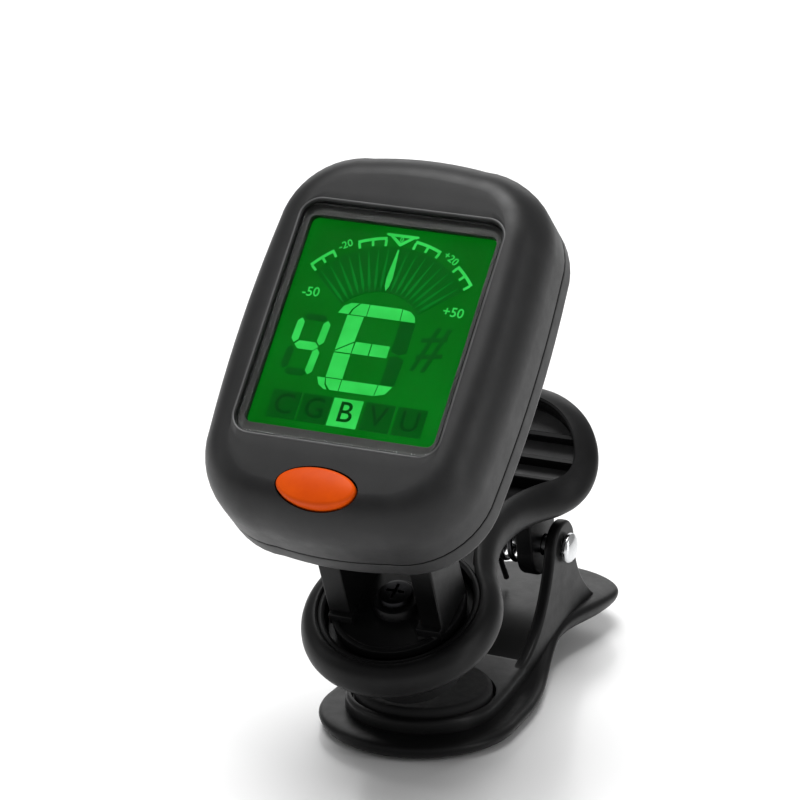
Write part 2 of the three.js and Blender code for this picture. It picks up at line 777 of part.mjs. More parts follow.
function upperJaw() {
  const frontRing = toSolid(placed(roundedDisc(frontRingRadius, -frontRingDepth, 0), swivelFrame));
  const fingerDisc = roundedDisc(fingerRadius, -fingerHalfDepth, fingerHalfDepth);
  const fingerRing = toSolid(placed(fingerDisc, fingerFrame));
  const waist = toSolid(slab(waistPlan(), 0, 60, 8));
  const lever = join(frontRing, waist, fingerRing).intersect(toSolid(sideSlab(leverSide(), -20, 20, 5)));
  const padBoss = toSolid(placed(
    rod(padBossRadius, 0, 0, padBossEnd, -frontRingDepth + 0.5, 28), swivelFrame,
  ));
  const lugs = [-lugOuter, lugInner].map((x) => toSolid(
    sideSlab(lugShape(), x, x + lugOuter - lugInner, 12),
  ));

  const swivelSeat = toSolid(placed(
    rod(swivelRecessRadius, 0, 0, swivelRecessFloor, beyond, 40), swivelFrame,
  ));
  const screwHole = toSolid(placed(rod(swivelScrewRadius + gap, 0, 0, -6.5, 0, 14), swivelFrame));
  const aboveFloor = toSolid(block(-20, 20, 20, 60, waistBottom + 1.6, 60));
  const fingerBowl = toSolid(placed(
    rod(fingerRecessRadius, 0, 0, fingerRecessFloor, beyond, 32), fingerFrame,
  ));
  const fingerSeat = fingerBowl.intersect(aboveFloor);
  const pinBore = toSolid(crossRod(pinRadius + gap, -8, 8, pivotY, pivotZ, 16));
  const body = cut(join(lever, padBoss, ...lugs), swivelSeat, screwHole, fingerSeat, pinBore);

  const ribs = ribSpots.map((along) => {
    const reach = Math.sqrt(fingerRecessRadius ** 2 - along ** 2) + gap;
    const low = along - ribHalfWidth;
    const high = along + ribHalfWidth;
    return toSolid(placed(block(-reach, reach, low, high, -ribHeight, ribHeight), fingerFrame));
  });
  return join(body, ...ribs);
}

function upperPad() {
  const body = toSolid(rod(upperPadRadius, 0, 0, upperPadFace, upperPadSleeveTop, 32));
  const bossRoom = toSolid(rod(padBossRadius + gap, 0, 0, padBossEnd - gap, upperPadSleeveTop + 1, 28));
  return cut(body, bossRoom);
}

// ---------------------------------------------------------------- lower jaw

// Side view of the base: flat under the pad, arched at the pivot, then the tail tab.
function baseSide() {
  const shape = new THREE.Shape();
  shape.moveTo(-8, 0);
  shape.lineTo(21, 0);
  shape.bezierCurveTo(28, 0, 30, 3.2, 37, 3.4);
  shape.bezierCurveTo(43, 3.5, 50, 2.4, 61, 4.0);
  shape.lineTo(61, 5.2);
  shape.bezierCurveTo(52, 5.4, 46, 6.6, 38, 6.4);
  shape.bezierCurveTo(31, 6.2, 28, 2.4, 20, 2.4);
  shape.lineTo(-8, 2.4);
  return shape;
}

function basePlan() {
  const frontRadius = 14;
  const frontY = 7.7;
  const neckHalf = 10.1;
  const tabHalf = 12;
  const tabY = 50;
  const tabLength = 9;
  const shape = new THREE.Shape();
  shape.absarc(0, frontY, frontRadius, Math.PI, 2 * Math.PI);
  shape.lineTo(frontRadius - 0.2, 14);
  shape.bezierCurveTo(frontRadius - 0.6, 21, neckHalf + 0.8, 26, neckHalf, 33);
  shape.bezierCurveTo(neckHalf - 0.2, 40, tabHalf, 43, tabHalf, tabY);
  shape.absellipse(0, tabY, tabHalf, tabLength, 0, Math.PI);
  shape.bezierCurveTo(-tabHalf, 43, -neckHalf + 0.2, 40, -neckHalf, 33);
  shape.bezierCurveTo(-neckHalf - 0.8, 26, -frontRadius + 0.6, 21, -frontRadius + 0.2, 14);
  return shape;
}

// The raised floor that holds the pad.
function platformPlan() {
  const radius = 10.7;
  const shape = new THREE.Shape();
  shape.absarc(0, padCentreY, radius, Math.PI, 2 * Math.PI);
  shape.lineTo(radius - 0.3, 18);
  shape.lineTo(lowerWallOuter, 24);
  shape.lineTo(-lowerWallOuter, 24);
  shape.lineTo(-radius + 0.3, 18);
  return shape;
}

// One side wall, with the eye for the pivot pin at its top.
function sideWallShape() {
  const shape = new THREE.Shape();
  shape.moveTo(19, 2);
  shape.lineTo(24.6, 4.2);
  shape.lineTo(27.8, 7.4);
  shape.lineTo(31.2, 13.4);
  shape.lineTo(pivotY - eyeRadius, pivotZ);
  shape.absarc(pivotY, pivotZ, eyeRadius, Math.PI, 0, true);
  shape.lineTo(43, 11.2);
  shape.lineTo(48, 5.6);
  shape.lineTo(46, 4.4);
  shape.lineTo(32, 4.0);
  shape.lineTo(26, 2);
  return shape;
}

function lowerJaw() {
  const plan = toSolid(slab(basePlan(), -5, 40, 14));
  const base = plan.intersect(toSolid(sideSlab(baseSide(), -20, 20, 8)));
  const platform = toSolid(slab(platformPlan(), 2, platformTop, 14));
  const walls = [-lowerWallOuter, lowerWallInner].map((x) => toSolid(
    sideSlab(sideWallShape(), x, x + lowerWallOuter - lowerWallInner, 12),
  ));
  const padSeat = toSolid(rod(padRadius + gap, 0, padCentreY, padBottom - gap, 8, 40));
  const pinBore = toSolid(crossRod(pinRadius + gap, -15, 15, pivotY, pivotZ, 16));
  return cut(join(base, platform, ...walls), padSeat, pinBore);
}

function lowerPad() {
  const edge = 0.6;
  const profile = [
    new THREE.Vector2(0, padBottom),
    new THREE.Vector2(padRadius, padBottom),
    new THREE.Vector2(padRadius, padTop - edge),
    new THREE.Vector2(padRadius - edge, padTop),
    new THREE.Vector2(0, padTop),
  ];
  const geometry = new THREE.LatheGeometry(profile, 40);
  geometry.rotateX(Math.PI / 2);
  geometry.translate(0, padCentreY, 0);
  return toSolid(geometry);
}

// The pin runs through both walls and both lugs, with a domed head on the right.
function pivotPin() {
  const headStart = lowerWallOuter + gap;
  const headRadius = 2.2;
  const rim = 0.5;
  const dome = 0.9;
  const steps = 4;
  const shank = toSolid(crossRod(pinRadius, -lowerWallOuter - 1.2, headStart + 0.2, pivotY, pivotZ, 16));
  const profile = [
    new THREE.Vector2(0, 0),
    new THREE.Vector2(headRadius, 0),
    new THREE.Vector2(headRadius, rim),
  ];
  for (let step = 1; step <= steps; step += 1) {
    const angle = (step / steps) * (Math.PI / 2);
    profile.push(new THREE.Vector2(headRadius * Math.cos(angle), rim + dome * Math.sin(angle)));
  }
  profile[profile.length - 1].x = 0;
  const head = new THREE.LatheGeometry(profile, 20);
  head.rotateZ(-Math.PI / 2);
  head.translate(headStart, pivotY, pivotZ);
  return join(shank, toSolid(head));
}

function pinClip() {
  const outside = -lowerWallOuter - gap;
  const ring = toSolid(crossRod(2.3, outside - 0.5, outside, pivotY, pivotZ, 18));
  const hole = toSolid(crossRod(pinRadius + 0.25, outside - 2, outside + 2, pivotY, pivotZ, 14));
  const mouth = toSolid(block(outside - 1, outside + 1, pivotY - 0.9, pivotY + 0.9, pivotZ - 4, pivotZ));
  return cut(ring, hole, mouth);
}

// Torsion spring: a coil round the pin, with one leg under the upper jaw's tail
// and the other on the lower jaw's tail tab.
class SpringLine extends THREE.Curve {
  constructor() {
    super();
    this.coilRadius = 2.7;
    this.halfLength = 3.0;
    this.firstAngle = THREE.MathUtils.degToRad(122);
    this.lastAngle = THREE.MathUtils.degToRad(4 * 360 + 61);
  }

  coilPoint(share) {
    const angle = this.firstAngle + share * (this.lastAngle - this.firstAngle);
    const x = -this.halfLength + 2 * this.halfLength * share;
    return new THREE.Vector3(
      x, pivotY + this.coilRadius * Math.sin(angle), pivotZ - this.coilRadius * Math.cos(angle),
    );
  }

  getPoint(t) {
    const legShare = 0.1;
    if (t < legShare) {
      const start = new THREE.Vector3(-this.halfLength, 45.2, 7.4);
      return start.lerp(this.coilPoint(0), t / legShare);
    }
    if (t > 1 - legShare) {
      const end = new THREE.Vector3(this.halfLength, 44.0, 26.0);
      return end.lerp(this.coilPoint(1), (1 - t) / legShare);
    }
    return this.coilPoint((t - legShare) / (1 - 2 * legShare));
  }
}

function torsionSpring() {
  const wire = new THREE.Shape();
  const wireRadius = 0.42;
  wire.absarc(0, 0, wireRadius, 0, 2 * Math.PI);
  const geometry = new THREE.ExtrudeGeometry(wire, {
    steps: 70, curveSegments: 3, bevelEnabled: false, extrudePath: new SpringLine(),
  });
  return toSolid(geometry);
}

// ---------------------------------------------------------------- assembly

const tuner = new THREE.Group();
tuner.add(piece('lower_jaw', lowerJaw(), plastic(jawBlack, 0.4)));
tuner.add(piece('lower_pad', lowerPad(), plastic(rubberBlack, 0.85)));
tuner.add(piece('pivot_pin', pivotPin(), metal(chrome, 0.12)));
tuner.add(piece('pin_clip', pinClip(), metal(steel, 0.3)));
tuner.add(piece('torsion_spring', torsionSpring(), metal(steel, 0.25)));
tuner.add(piece('upper_jaw', upperJaw(), plastic(jawBlack, 0.4)));
tuner.add(swivelNeck());
tuner.add(displayHead());

export default tuner;
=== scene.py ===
"""Looks of the clip-on tuner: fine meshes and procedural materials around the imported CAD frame.

Shapes are written in millimetres and turned into metres when a mesh is made.
"""

import json
from math import atan2, cos, pi, radians, sin, sqrt, tan

import bmesh
import bpy
from mathutils import Matrix, Vector


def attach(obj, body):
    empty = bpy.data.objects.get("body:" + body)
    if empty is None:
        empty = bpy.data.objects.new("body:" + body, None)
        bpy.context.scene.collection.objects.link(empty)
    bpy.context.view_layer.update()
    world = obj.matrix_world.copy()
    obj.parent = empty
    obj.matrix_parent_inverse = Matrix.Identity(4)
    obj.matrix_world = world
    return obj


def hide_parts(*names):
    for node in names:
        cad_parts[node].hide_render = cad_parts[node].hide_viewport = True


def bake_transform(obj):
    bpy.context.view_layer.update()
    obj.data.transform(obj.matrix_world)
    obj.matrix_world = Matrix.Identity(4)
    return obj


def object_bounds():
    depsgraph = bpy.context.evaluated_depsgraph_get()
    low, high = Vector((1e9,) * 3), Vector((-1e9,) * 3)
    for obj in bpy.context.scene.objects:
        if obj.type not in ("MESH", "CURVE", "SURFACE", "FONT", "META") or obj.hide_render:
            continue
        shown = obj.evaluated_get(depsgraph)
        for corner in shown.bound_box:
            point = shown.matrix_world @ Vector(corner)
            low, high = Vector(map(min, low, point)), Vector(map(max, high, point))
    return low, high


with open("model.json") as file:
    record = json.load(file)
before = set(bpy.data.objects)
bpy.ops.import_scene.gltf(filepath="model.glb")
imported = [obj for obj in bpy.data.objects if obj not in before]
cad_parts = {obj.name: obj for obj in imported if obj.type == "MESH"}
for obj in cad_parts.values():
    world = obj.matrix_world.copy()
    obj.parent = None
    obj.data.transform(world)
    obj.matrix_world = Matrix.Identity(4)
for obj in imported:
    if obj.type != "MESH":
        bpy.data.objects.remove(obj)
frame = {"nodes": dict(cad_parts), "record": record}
cad_low, cad_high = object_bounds()

MM = 0.001
RIGHT = Vector((1, 0, 0))

joints = {joint["name"]: joint for joint in frame["record"]["behaviour"]["joints"]}


# ---- frames

def frame_matrix(origin, y_axis, z_axis):
    """A frame whose x axis is the row's, in millimetres."""
    columns = (RIGHT, Vector(y_axis), Vector(z_axis), Vector(origin))
    matrix = Matrix.Identity(4)
    for column, vector in enumerate(columns):
        for row in range(3):
            matrix[row][column] = vector[row]
    return matrix


def joint_point(name):
    return Vector(joints[name]["pos_m"]) / MM


def joint_axis(name):
    return Vector(joints[name]["axis"]).normalized()


WORLD = Matrix.Identity(4)

face_out = -joint_axis("button_press")
face_up = joint_axis("door_slide")
HINGE_IN_HEAD = Vector((0, -17.4, -16.8))
hinge = joint_point("head_tilt")
head_origin = hinge - face_up * HINGE_IN_HEAD.y - face_out * HINGE_IN_HEAD.z
HEAD = frame_matrix(head_origin, face_up, face_out)

table_up = joint_axis("swivel")
table_back = table_up.cross(RIGHT)
SWIVEL = frame_matrix(joint_point("swivel"), table_back, table_up)
SWIVEL_TILT = atan2(table_back.z, table_back.y)

pivot = joint_point("clamp_open")
PIN_BORE = 1.6
PAD_Y = 8.5
FINGER_TILT = radians(48)
FINGER_CENTRE = Vector((0, 40, 26.6))
finger_back = Vector((0, cos(FINGER_TILT), sin(FINGER_TILT)))
FINGER = frame_matrix(FINGER_CENTRE, finger_back, RIGHT.cross(finger_back))


# ---- meshes

# Points closer than this many metres are merged
TOUCHING = 0.2e-6
# Radius in millimetres that stands for the axis of a turned shape
NEAR_AXIS = 1e-3


def add_object(name, data):
    made = bpy.data.objects.new(name, data)
    bpy.context.collection.objects.link(made)
    return made


def new_object(name, points, faces, place=WORLD):
    """A closed mesh from points in millimetres, with its faces turned outwards."""
    mesh = bpy.data.meshes.new(name)
    mesh.from_pydata([(place @ Vector(point)) * MM for point in points], [], faces)
    shape = bmesh.new()
    shape.from_mesh(mesh)
    bmesh.ops.remove_doubles(shape, verts=shape.verts, dist=TOUCHING)
    bmesh.ops.recalc_face_normals(shape, faces=shape.faces)
    shape.to_mesh(mesh)
    shape.free()
    return add_object(name, mesh)


def evaluated_mesh(made):
    graph = bpy.context.evaluated_depsgraph_get()
    return bpy.data.meshes.new_from_object(made.evaluated_get(graph))


def settle(made):
    """Applies an object's modifiers."""
    mesh = evaluated_mesh(made)
    made.modifiers.clear()
    made.data = mesh


def combine(base, operation, tools):
    """Joins the tools to the base, or cuts them from it, and removes the tools."""
    for tool in tools:
        step = base.modifiers.new("combine", "BOOLEAN")
        step.operation = operation
        step.solver = "EXACT"
        step.object = tool
        settle(base)
        bpy.data.objects.remove(tool)


def join(base, *tools):
    combine(base, "UNION", tools)


def cut(base, *tools):
    combine(base, "DIFFERENCE", tools)


def common(base, *tools):
    combine(base, "INTERSECT", tools)


def soften_edges(made, width, segments=2, sharper_than=40):
    bevel = made.modifiers.new("soften", "BEVEL")
    bevel.width = width * MM
    bevel.segments = segments
    bevel.limit_method = "ANGLE"
    bevel.angle_limit = radians(sharper_than)
    settle(made)


def finish_piece(made, body, slot, replaced=None, look=None, sharp=32):
    """Smooth shading, the look, the body it rides with, and hiding the CAD part it replaces. A look not named
    is the slot's.
    """
    mesh = made.data
    mesh.materials.clear()
    mesh.materials.append(looks[look or slot])
    mesh.polygons.foreach_set("use_smooth", [True] * len(mesh.polygons))
    mesh.polygons.foreach_set("material_index", [0] * len(mesh.polygons))
    mesh.set_sharp_from_angle(angle=radians(sharp))
    weighted = made.modifiers.new("even_shading", "WEIGHTED_NORMAL")
    weighted.keep_sharp = True
    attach(made, body)
    if replaced:
        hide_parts(replaced)


def loft(name, rings, place=WORLD, around=False):
    """A skin over rings of equal length. It is capped at both ends, or closed on itself."""
    count = len(rings[0])
    points = [point for ring in rings for point in ring]
    faces = []
    bands = len(rings) if around else len(rings) - 1
    for band in range(bands):
        first = band * count
        second = ((band + 1) % len(rings)) * count
        for i in range(count):
            j = (i + 1) % count
            faces.append((first + i, first + j, second + j, second + i))
    if not around:
        faces.append(tuple(range(count)))
        faces.append(tuple(range(len(points) - count, len(points))))
    return new_object(name, points, faces, place)


def circle_angles(steps):
    return [2 * pi * i / steps for i in range(steps)]


def turned_rings(profile, steps):
    turn = circle_angles(steps)
    return [[(radius * cos(a), radius * sin(a), height) for a in turn] for radius, height in profile]


def lathe(name, profile, place=WORLD, steps=96):
    """A turned shape. The profile is (radius, height) pairs, from axis to axis."""
    open_profile = [(max(radius, NEAR_AXIS), height) for radius, height in profile]
    return loft(name, turned_rings(open_profile, steps), place)


def ring_of(name, profile, place=WORLD, steps=128):
    """A turned ring with a closed profile that stays clear of the axis."""
    return loft(name, turned_rings(profile, steps), place, around=True)


def prism(name, outline, low, high, place=WORLD, along="z", soften=0.0, segments=2):
    """A flat outline thickened along z, or a side view (y, z) thickened along x."""
    if along == "x":
        rings = [[(x, a, b) for a, b in outline] for x in (low, high)]
    else:
        rings = [[(a, b, z) for a, b in outline] for z in (low, high)]
    made = loft(name, rings, place)
    if soften:
        soften_edges(made, soften, segments)
    return made


def arc(centre_a, centre_b, radius, start, end, steps):
    """Points of a circular arc, with its angles in degrees."""
    angles = [radians(start + (end - start) * i / steps) for i in range(steps + 1)]
    return [(centre_a + radius * cos(a), centre_b + radius * sin(a)) for a in angles]


def cubic_point(curve, t):
    """The point at t of a flat cubic curve, given by its four control points."""
    u = 1 - t
    weights = (u ** 3, 3 * u * u * t, 3 * u * t * t, t ** 3)
    return tuple(sum(w * p[k] for w, p in zip(weights, curve)) for k in range(2))


def bezier(start, first, second, end, steps):
    """Points of a cubic curve, without its first point."""
    return [cubic_point((start, first, second, end), i / steps) for i in range(1, steps + 1)]


def disc(name, radius, low, high, place=WORLD, steps=96, soften=0.0):
    """A round plate along z, with softened rims."""
    if not soften:
        return lathe(name, [(0, low), (radius, low), (radius, high), (0, high)], place, steps)
    rounding = [(soften * (1 - sin(a)), soften * (1 - cos(a))) for a in (pi / 6, pi / 3)]
    profile = [(0, low), (radius - soften, low)]
    profile += [(radius - inset, low + rise) for inset, rise in rounding]
    profile += [(radius, low + soften), (radius, high - soften)]
    profile += [(radius - inset, high - drop) for drop, inset in rounding]
    profile += [(radius - soften, high), (0, high)]
    return lathe(name, profile, place, steps)


def cross_rod_place(y, z, place=WORLD):
    """A frame whose z axis runs along the row's x, centred at y and z."""
    turn = Matrix(((0, 0, 1, 0), (1, 0, 0, y), (0, 1, 0, z), (0, 0, 0, 1)))
    return place @ turn


PIVOT_PLACE = cross_rod_place(pivot.y, pivot.z)


# ---- outline solids

def outline_normals(loop):
    """Inward normals of a closed outline that runs anticlockwise."""
    normals = []
    for before, after in zip(loop[-1:] + loop[:-1], loop[1:] + loop[:1]):
        along = Vector((after[0] - before[0], after[1] - before[1])).normalized()
        normals.append((-along.y, along.x))
    return normals


def plank(name, right_side, section, place_point, columns=8):
    """A plate with a symmetrical outline.

    right_side runs from the front tip to the back tip, both at x = 0. section lists
    (inset, height) from the bottom's inner edge round the rim to the top's inner edge;
    a height may be a function of the position along the plate.
    """
    left_side = [(-x, s) for x, s in reversed(right_side[1:-1])]
    loop = list(right_side) + left_side
    normals = outline_normals(loop)
    count = len(loop)
    last = len(right_side) - 1

    def add_point(x, s, height):
        points.append(place_point(x, s, height(s) if callable(height) else height))

    points = []
    faces = []
    for inset, height in section:
        for (x, s), (nx, ny) in zip(loop, normals):
            add_point(x + nx * inset, s + ny * inset, height)
    for band in range(len(section) - 1):
        for i in range(count):
            j = (i + 1) % count
            a = band * count
            b = a + count
            faces.append((a + i, a + j, b + j, b + i))

    for ring in (0, len(section) - 1):
        inset, height = section[ring]
        offset = ring * count
        rows = [[offset]]
        for i in range(1, last):
            mirror = count - i
            x, s = loop[i]
            nx, ny = normals[i]
            half = x + nx * inset
            ps = s + ny * inset
            row = [offset + mirror]
            for column in range(1, columns):
                row.append(len(points))
                add_point(-half + 2 * half * column / columns, ps, height)
            row.append(offset + i)
            rows.append(row)
        rows.append([offset + last])
        for near, far in zip(rows, rows[1:]):
            if len(near) == 1:
                faces += [(near[0], far[k + 1], far[k]) for k in range(columns)]
            elif len(far) == 1:
                faces += [(near[k], near[k + 1], far[0]) for k in range(columns)]
            else:
                faces += [(near[k], near[k + 1], far[k + 1], far[k]) for k in range(columns)]
    return new_object(name, points, faces)


# ---- materials

def set_inputs(node, values):
    for socket, value in values.items():
        node.inputs[socket].default_value = value


def link_inputs(node, sources):
    for socket, source in sources.items():
        node.id_data.links.new(source, node.inputs[socket])


def add_node(source, kind, values):
    """A new node in the tree that the source belongs to."""
    node = source.id_data.nodes.new(kind)
    set_inputs(node, values)
    return node


def start_material(name):
    material = bpy.data.materials.new(name)
    material.use_nodes = True
    tree = material.node_tree
    place = tree.nodes.new("ShaderNodeTexCoord").outputs["Object"]
    return material, tree.nodes["Principled BSDF"], place


def noise(place, scale, detail=3.0, roughness=0.5):
    node = add_node(place, "ShaderNodeTexNoise", {"Scale": scale, "Detail": detail, "Roughness": roughness})
    link_inputs(node, {"Vector": place})
    return node.outputs["Fac"]


def spread(source, low, high):
    """Maps a noise value to a range."""
    limits = {"From Min": 0.3, "From Max": 0.7, "To Min": low, "To Max": high}
    node = add_node(source, "ShaderNodeMapRange", limits)
    link_inputs(node, {"Value": source})
    return node.outputs["Result"]


def tinted(pattern, dark, light):
    """A colour that wanders between two shades with a noise pattern."""
    node = add_node(pattern, "ShaderNodeMix", {6: (*dark, 1), 7: (*light, 1)})
    node.data_type = "RGBA"
    link_inputs(node, {0: spread(pattern, 0, 1)})
    return node.outputs[2]


def add_bump(shader, heights):
    """Stacks bump layers, given as (height socket, depth in metres, strength)."""
    normal = None
    for height, depth, strength in heights:
        bump = add_node(height, "ShaderNodeBump", {"Distance": depth, "Strength": strength})
        link_inputs(bump, {"Height": height})
        if normal is not None:
            link_inputs(bump, {"Normal": normal})
        normal = bump.outputs["Normal"]
    link_inputs(shader, {"Normal": normal})


def moulded_plastic(name, dark, light, rough, grain, grain_depth, specular):
    """Injection-moulded plastic: a spark-eroded grain, soft mottling and handling marks."""
    material, shader, place = start_material(name)
    wear = add_node(place, "ShaderNodeMath", {})
    wear.operation = "MULTIPLY"
    handling = noise(place, 55, 3, 0.6)
    link_inputs(wear, {0: noise(place, 420, 6, 0.7), 1: spread(handling, 0.8, 1.2)})
    link_inputs(shader, {
        "Base Color": tinted(noise(place, 160, 4, 0.6), dark, light),
        "Roughness": spread(wear.outputs[0], *rough),
    })
    set_inputs(shader, {"Specular IOR Level": specular})
    fine = noise(place, grain, 2, 0.5)
    wave = noise(place, 130, 1, 0.4)
    add_bump(shader, [(fine, grain_depth, 0.35), (wave, 0.00006, 0.12)])
    return material


def rubber(name):
    """Matt black rubber with a little dust."""
    material, shader, place = start_material(name)
    dust = noise(place, 700, 6, 0.75)
    link_inputs(shader, {
        "Base Color": tinted(dust, (0.006, 0.006, 0.0065), (0.013, 0.013, 0.0135)),
        "Roughness": spread(dust, 0.62, 0.86),
    })
    set_inputs(shader, {"Specular IOR Level": 0.25})
    add_bump(shader, [(noise(place, 5200, 3, 0.6), 0.00003, 0.5)])
    return material


def bright_metal(name, colour, rough, streak):
    """Plated or brushed metal with faint streaks and smudges."""
    material, shader, place = start_material(name)
    stretch = add_node(place, "ShaderNodeMapping", {"Scale": (1, 1 + streak, 1 + streak)})
    link_inputs(stretch, {"Vector": place})
    smudge = noise(stretch.outputs["Vector"], 600, 5, 0.65)
    darker = tuple(0.82 * value for value in colour)
    link_inputs(shader, {
        "Base Color": tinted(smudge, darker, colour),
        "Roughness": spread(smudge, *rough),
    })
    set_inputs(shader, {"Metallic": 1.0})
    scratches = noise(stretch.outputs["Vector"], 4200, 2, 0.5)
    add_bump(shader, [(scratches, 0.000006, 0.25)])
    return material


def glowing(name, dark, light, scale):
    """A lit display surface with uneven back light."""
    material, shader, place = start_material(name)
    uneven = noise(place, scale, 3, 0.5)
    unlit = [tuple(0.02 * value for value in shade) for shade in (dark, light)]
    link_inputs(shader, {
        "Emission Color": tinted(uneven, dark, light),
        "Base Color": tinted(uneven, *unlit),
        "Roughness": spread(noise(place, 900, 3), 0.3, 0.4),
    })
    set_inputs(shader, {"Emission Strength": 1.0, "Specular IOR Level": 0.03})
    add_bump(shader, [(noise(place, 9000, 1), 0.000002, 0.2)])
    return material


def clear_cover(name):
    """The display's clear cover, with a trace of dust and fine scratches."""
    material, shader, place = start_material(name)
    dust = noise(place, 1500, 5, 0.7)
    link_inputs(shader, {
        "Base Color": tinted(dust, (0.97, 0.99, 0.97), (1.0, 1.0, 1.0)),
        "Roughness": spread(dust, 0.0, 0.03),
    })
    set_inputs(shader, {"Transmission Weight": 1.0, "IOR": 1.1})
    add_bump(shader, [(noise(place, 700, 2), 0.000002, 0.1)])
    return material


# Darkest and lightest colour, range of roughness, scale and depth of the grain, specular level
PLASTICS = {
    "case_black": ((0.008, 0.008, 0.0084), (0.013, 0.013, 0.0134), (0.38, 0.48), 6500, 0.00002, 0.32),
    "jaw_black": ((0.003, 0.003, 0.0032), (0.006, 0.006, 0.0063), (0.35, 0.45), 6000, 0.000016, 0.20),
    # The next colour is partly painted light: its rougher grain is real, but it is several times lighter than
    # the jaw to stand for the light the finger-ring floor catches.
    "grip_black": ((0.030, 0.030, 0.031), (0.046, 0.046, 0.047), (0.5, 0.6), 4200, 0.00003, 0.55),
    "button_orange": ((0.60, 0.062, 0.0008), (0.70, 0.082, 0.0012), (0.38, 0.48), 5200, 0.000014, 0.10),
    "mask_black": ((0.004, 0.005, 0.004), (0.008, 0.009, 0.008), (0.4, 0.5), 8000, 0.000004, 0.5),
    # The next colour is a painted highlight: a grey ring that stands for the light caught on the window's
    # rim.
    "rim_light": ((0.035, 0.035, 0.036), (0.06, 0.06, 0.061), (0.3, 0.4), 7000, 0.000006, 0.5),
    "light_guide": ((0.62, 0.68, 0.60), (0.74, 0.78, 0.70), (0.2, 0.3), 6000, 0.000004, 0.5),
    "connector_grey": ((0.10, 0.10, 0.11), (0.20, 0.20, 0.22), (0.6, 0.8), 3000, 0.00002, 0.5),
    "board_green": ((0.008, 0.075, 0.022), (0.015, 0.12, 0.035), (0.3, 0.45), 2500, 0.00001, 0.5),
    "chip_black": ((0.008, 0.008, 0.008), (0.02, 0.02, 0.02), (0.5, 0.6), 7000, 0.000012, 0.5),
}

# Colour, range of roughness, and how far brushing stretches the marks
METALS = {
    "steel": ((0.56, 0.57, 0.59), (0.24, 0.38), 6),
    "chrome": ((0.80, 0.81, 0.82), (0.16, 0.26), 0),
    "spring_steel": ((0.10, 0.10, 0.105), (0.30, 0.42), 3),
    "dark_steel": ((0.022, 0.022, 0.024), (0.34, 0.46), 6),
    "brass": ((0.72, 0.52, 0.23), (0.22, 0.34), 0),
}

# Darkest and lightest glow, and the scale of the unevenness
GLOWS = {
    "screen_green": ((0.0, 0.105, 0.002), (0.0, 0.160, 0.005), 60),
    "segment_lit": ((0.024, 0.54, 0.065), (0.04, 0.68, 0.10), 300),
    "segment_faint": ((0.0, 0.160, 0.009), (0.001, 0.195, 0.013), 260),
    "dial_shade": ((0.0, 0.090, 0.003), (0.0, 0.108, 0.004), 200),
    "segment_dark": ((0.0, 0.070, 0.003), (0.0, 0.086, 0.004), 200),
    "screen_dim": ((0.0, 0.040, 0.002), (0.0, 0.052, 0.003), 200),
}

looks = {"pad_rubber": rubber("pad_rubber"), "window_clear": clear_cover("window_clear")}
for make, table in ((moulded_plastic, PLASTICS), (bright_metal, METALS), (glowing, GLOWS)):
    looks.update({name: make(name, *values) for name, values in table.items()})


# ---- display head

FACE_WIDTH = 40
FACE_HEIGHT = 55.5
FACE_MIDDLE = -0.8
FACE_CORNER = 11.5
FACE_BOW = 0.6
CROWN = 2.0
CASE_BACK = -13.0
FRONT_PARTING = -9.1
BACK_PARTING = -9.3
BACK_FLOOR = -11.35
WALL = 1.8
SHOULDER_WIDTH = 5.0
SHOULDER_DEPTH = 7.0
WINDOW = (28.5, 34.0, 2.5)
SCREEN = (26.5, 30.5, 1.0)
GAP = 0.3
LENS_SEAT = 0.7
HINGE_BORE = 1.4
BUTTON_Y = -23.4
BUTTON_HALF_WIDTH = 5.5
BUTTON_HALF_HEIGHT = 2.65
BUTTON_TOP = 2.1
BUTTON_EDGE = 0.55


def rounded_outline(width, height, corner, middle=0.0, bow=0.0, corner_steps=12, side_steps=10):
    """A rounded rectangle with slightly bowed sides, anticlockwise."""
    x = width / 2 - bow
    low = middle - height / 2 + bow
    high = middle + height / 2 - bow
    turns = (
        (x - corner, low + corner, -90),
        (x - corner, high - corner, 0),
        (-x + corner, high - corner, 90),
        (-x + corner, low + corner, 180),
    )
    corners = [arc(cx, cy, corner, start, start + 90, corner_steps) for cx, cy, start in turns]
    points = []
    for index, corner_points in enumerate(corners):
        points += corner_points
        start = Vector(corner_points[-1])
        end = Vector(corners[(index + 1) % 4][0])
        side = end - start
        outwards = Vector((side.y, -side.x)).normalized()
        for step in range(1, side_steps):
            t = step / side_steps
            point = start + side * t + outwards * bow * 4 * t * (1 - t)
            points.append((point.x, point.y))
    return points


def face_rings(*places):
    """Rings round the face, each given by its inset and its height."""
    rings = []
    for inset, z in places:
        outline = rounded_outline(
            FACE_WIDTH - 2 * inset, FACE_HEIGHT - 2 * inset, FACE_CORNER - inset, FACE_MIDDLE, FACE_BOW,
        )
        rings.append([(x, y, z) for x, y in outline])
    return rings


def opening_rings(opening, *places):
    """Rings round an opening, each given by how far it is grown and its height."""
    width, height, corner = opening
    rings = []
    for grow, z in places:
        outline = rounded_outline(width + 2 * grow, height + 2 * grow, corner + grow)
        rings.append([(x, y, z) for x, y in outline])
    return rings


def between(first, second, share, z):
    return [(a[0] + (b[0] - a[0]) * share, a[1] + (b[1] - a[1]) * share, z) for a, b in zip(first, second)]


def ellipse(half_width, half_height, middle, steps=72):
    return [(half_width * cos(a), middle + half_height * sin(a)) for a in circle_angles(steps)]


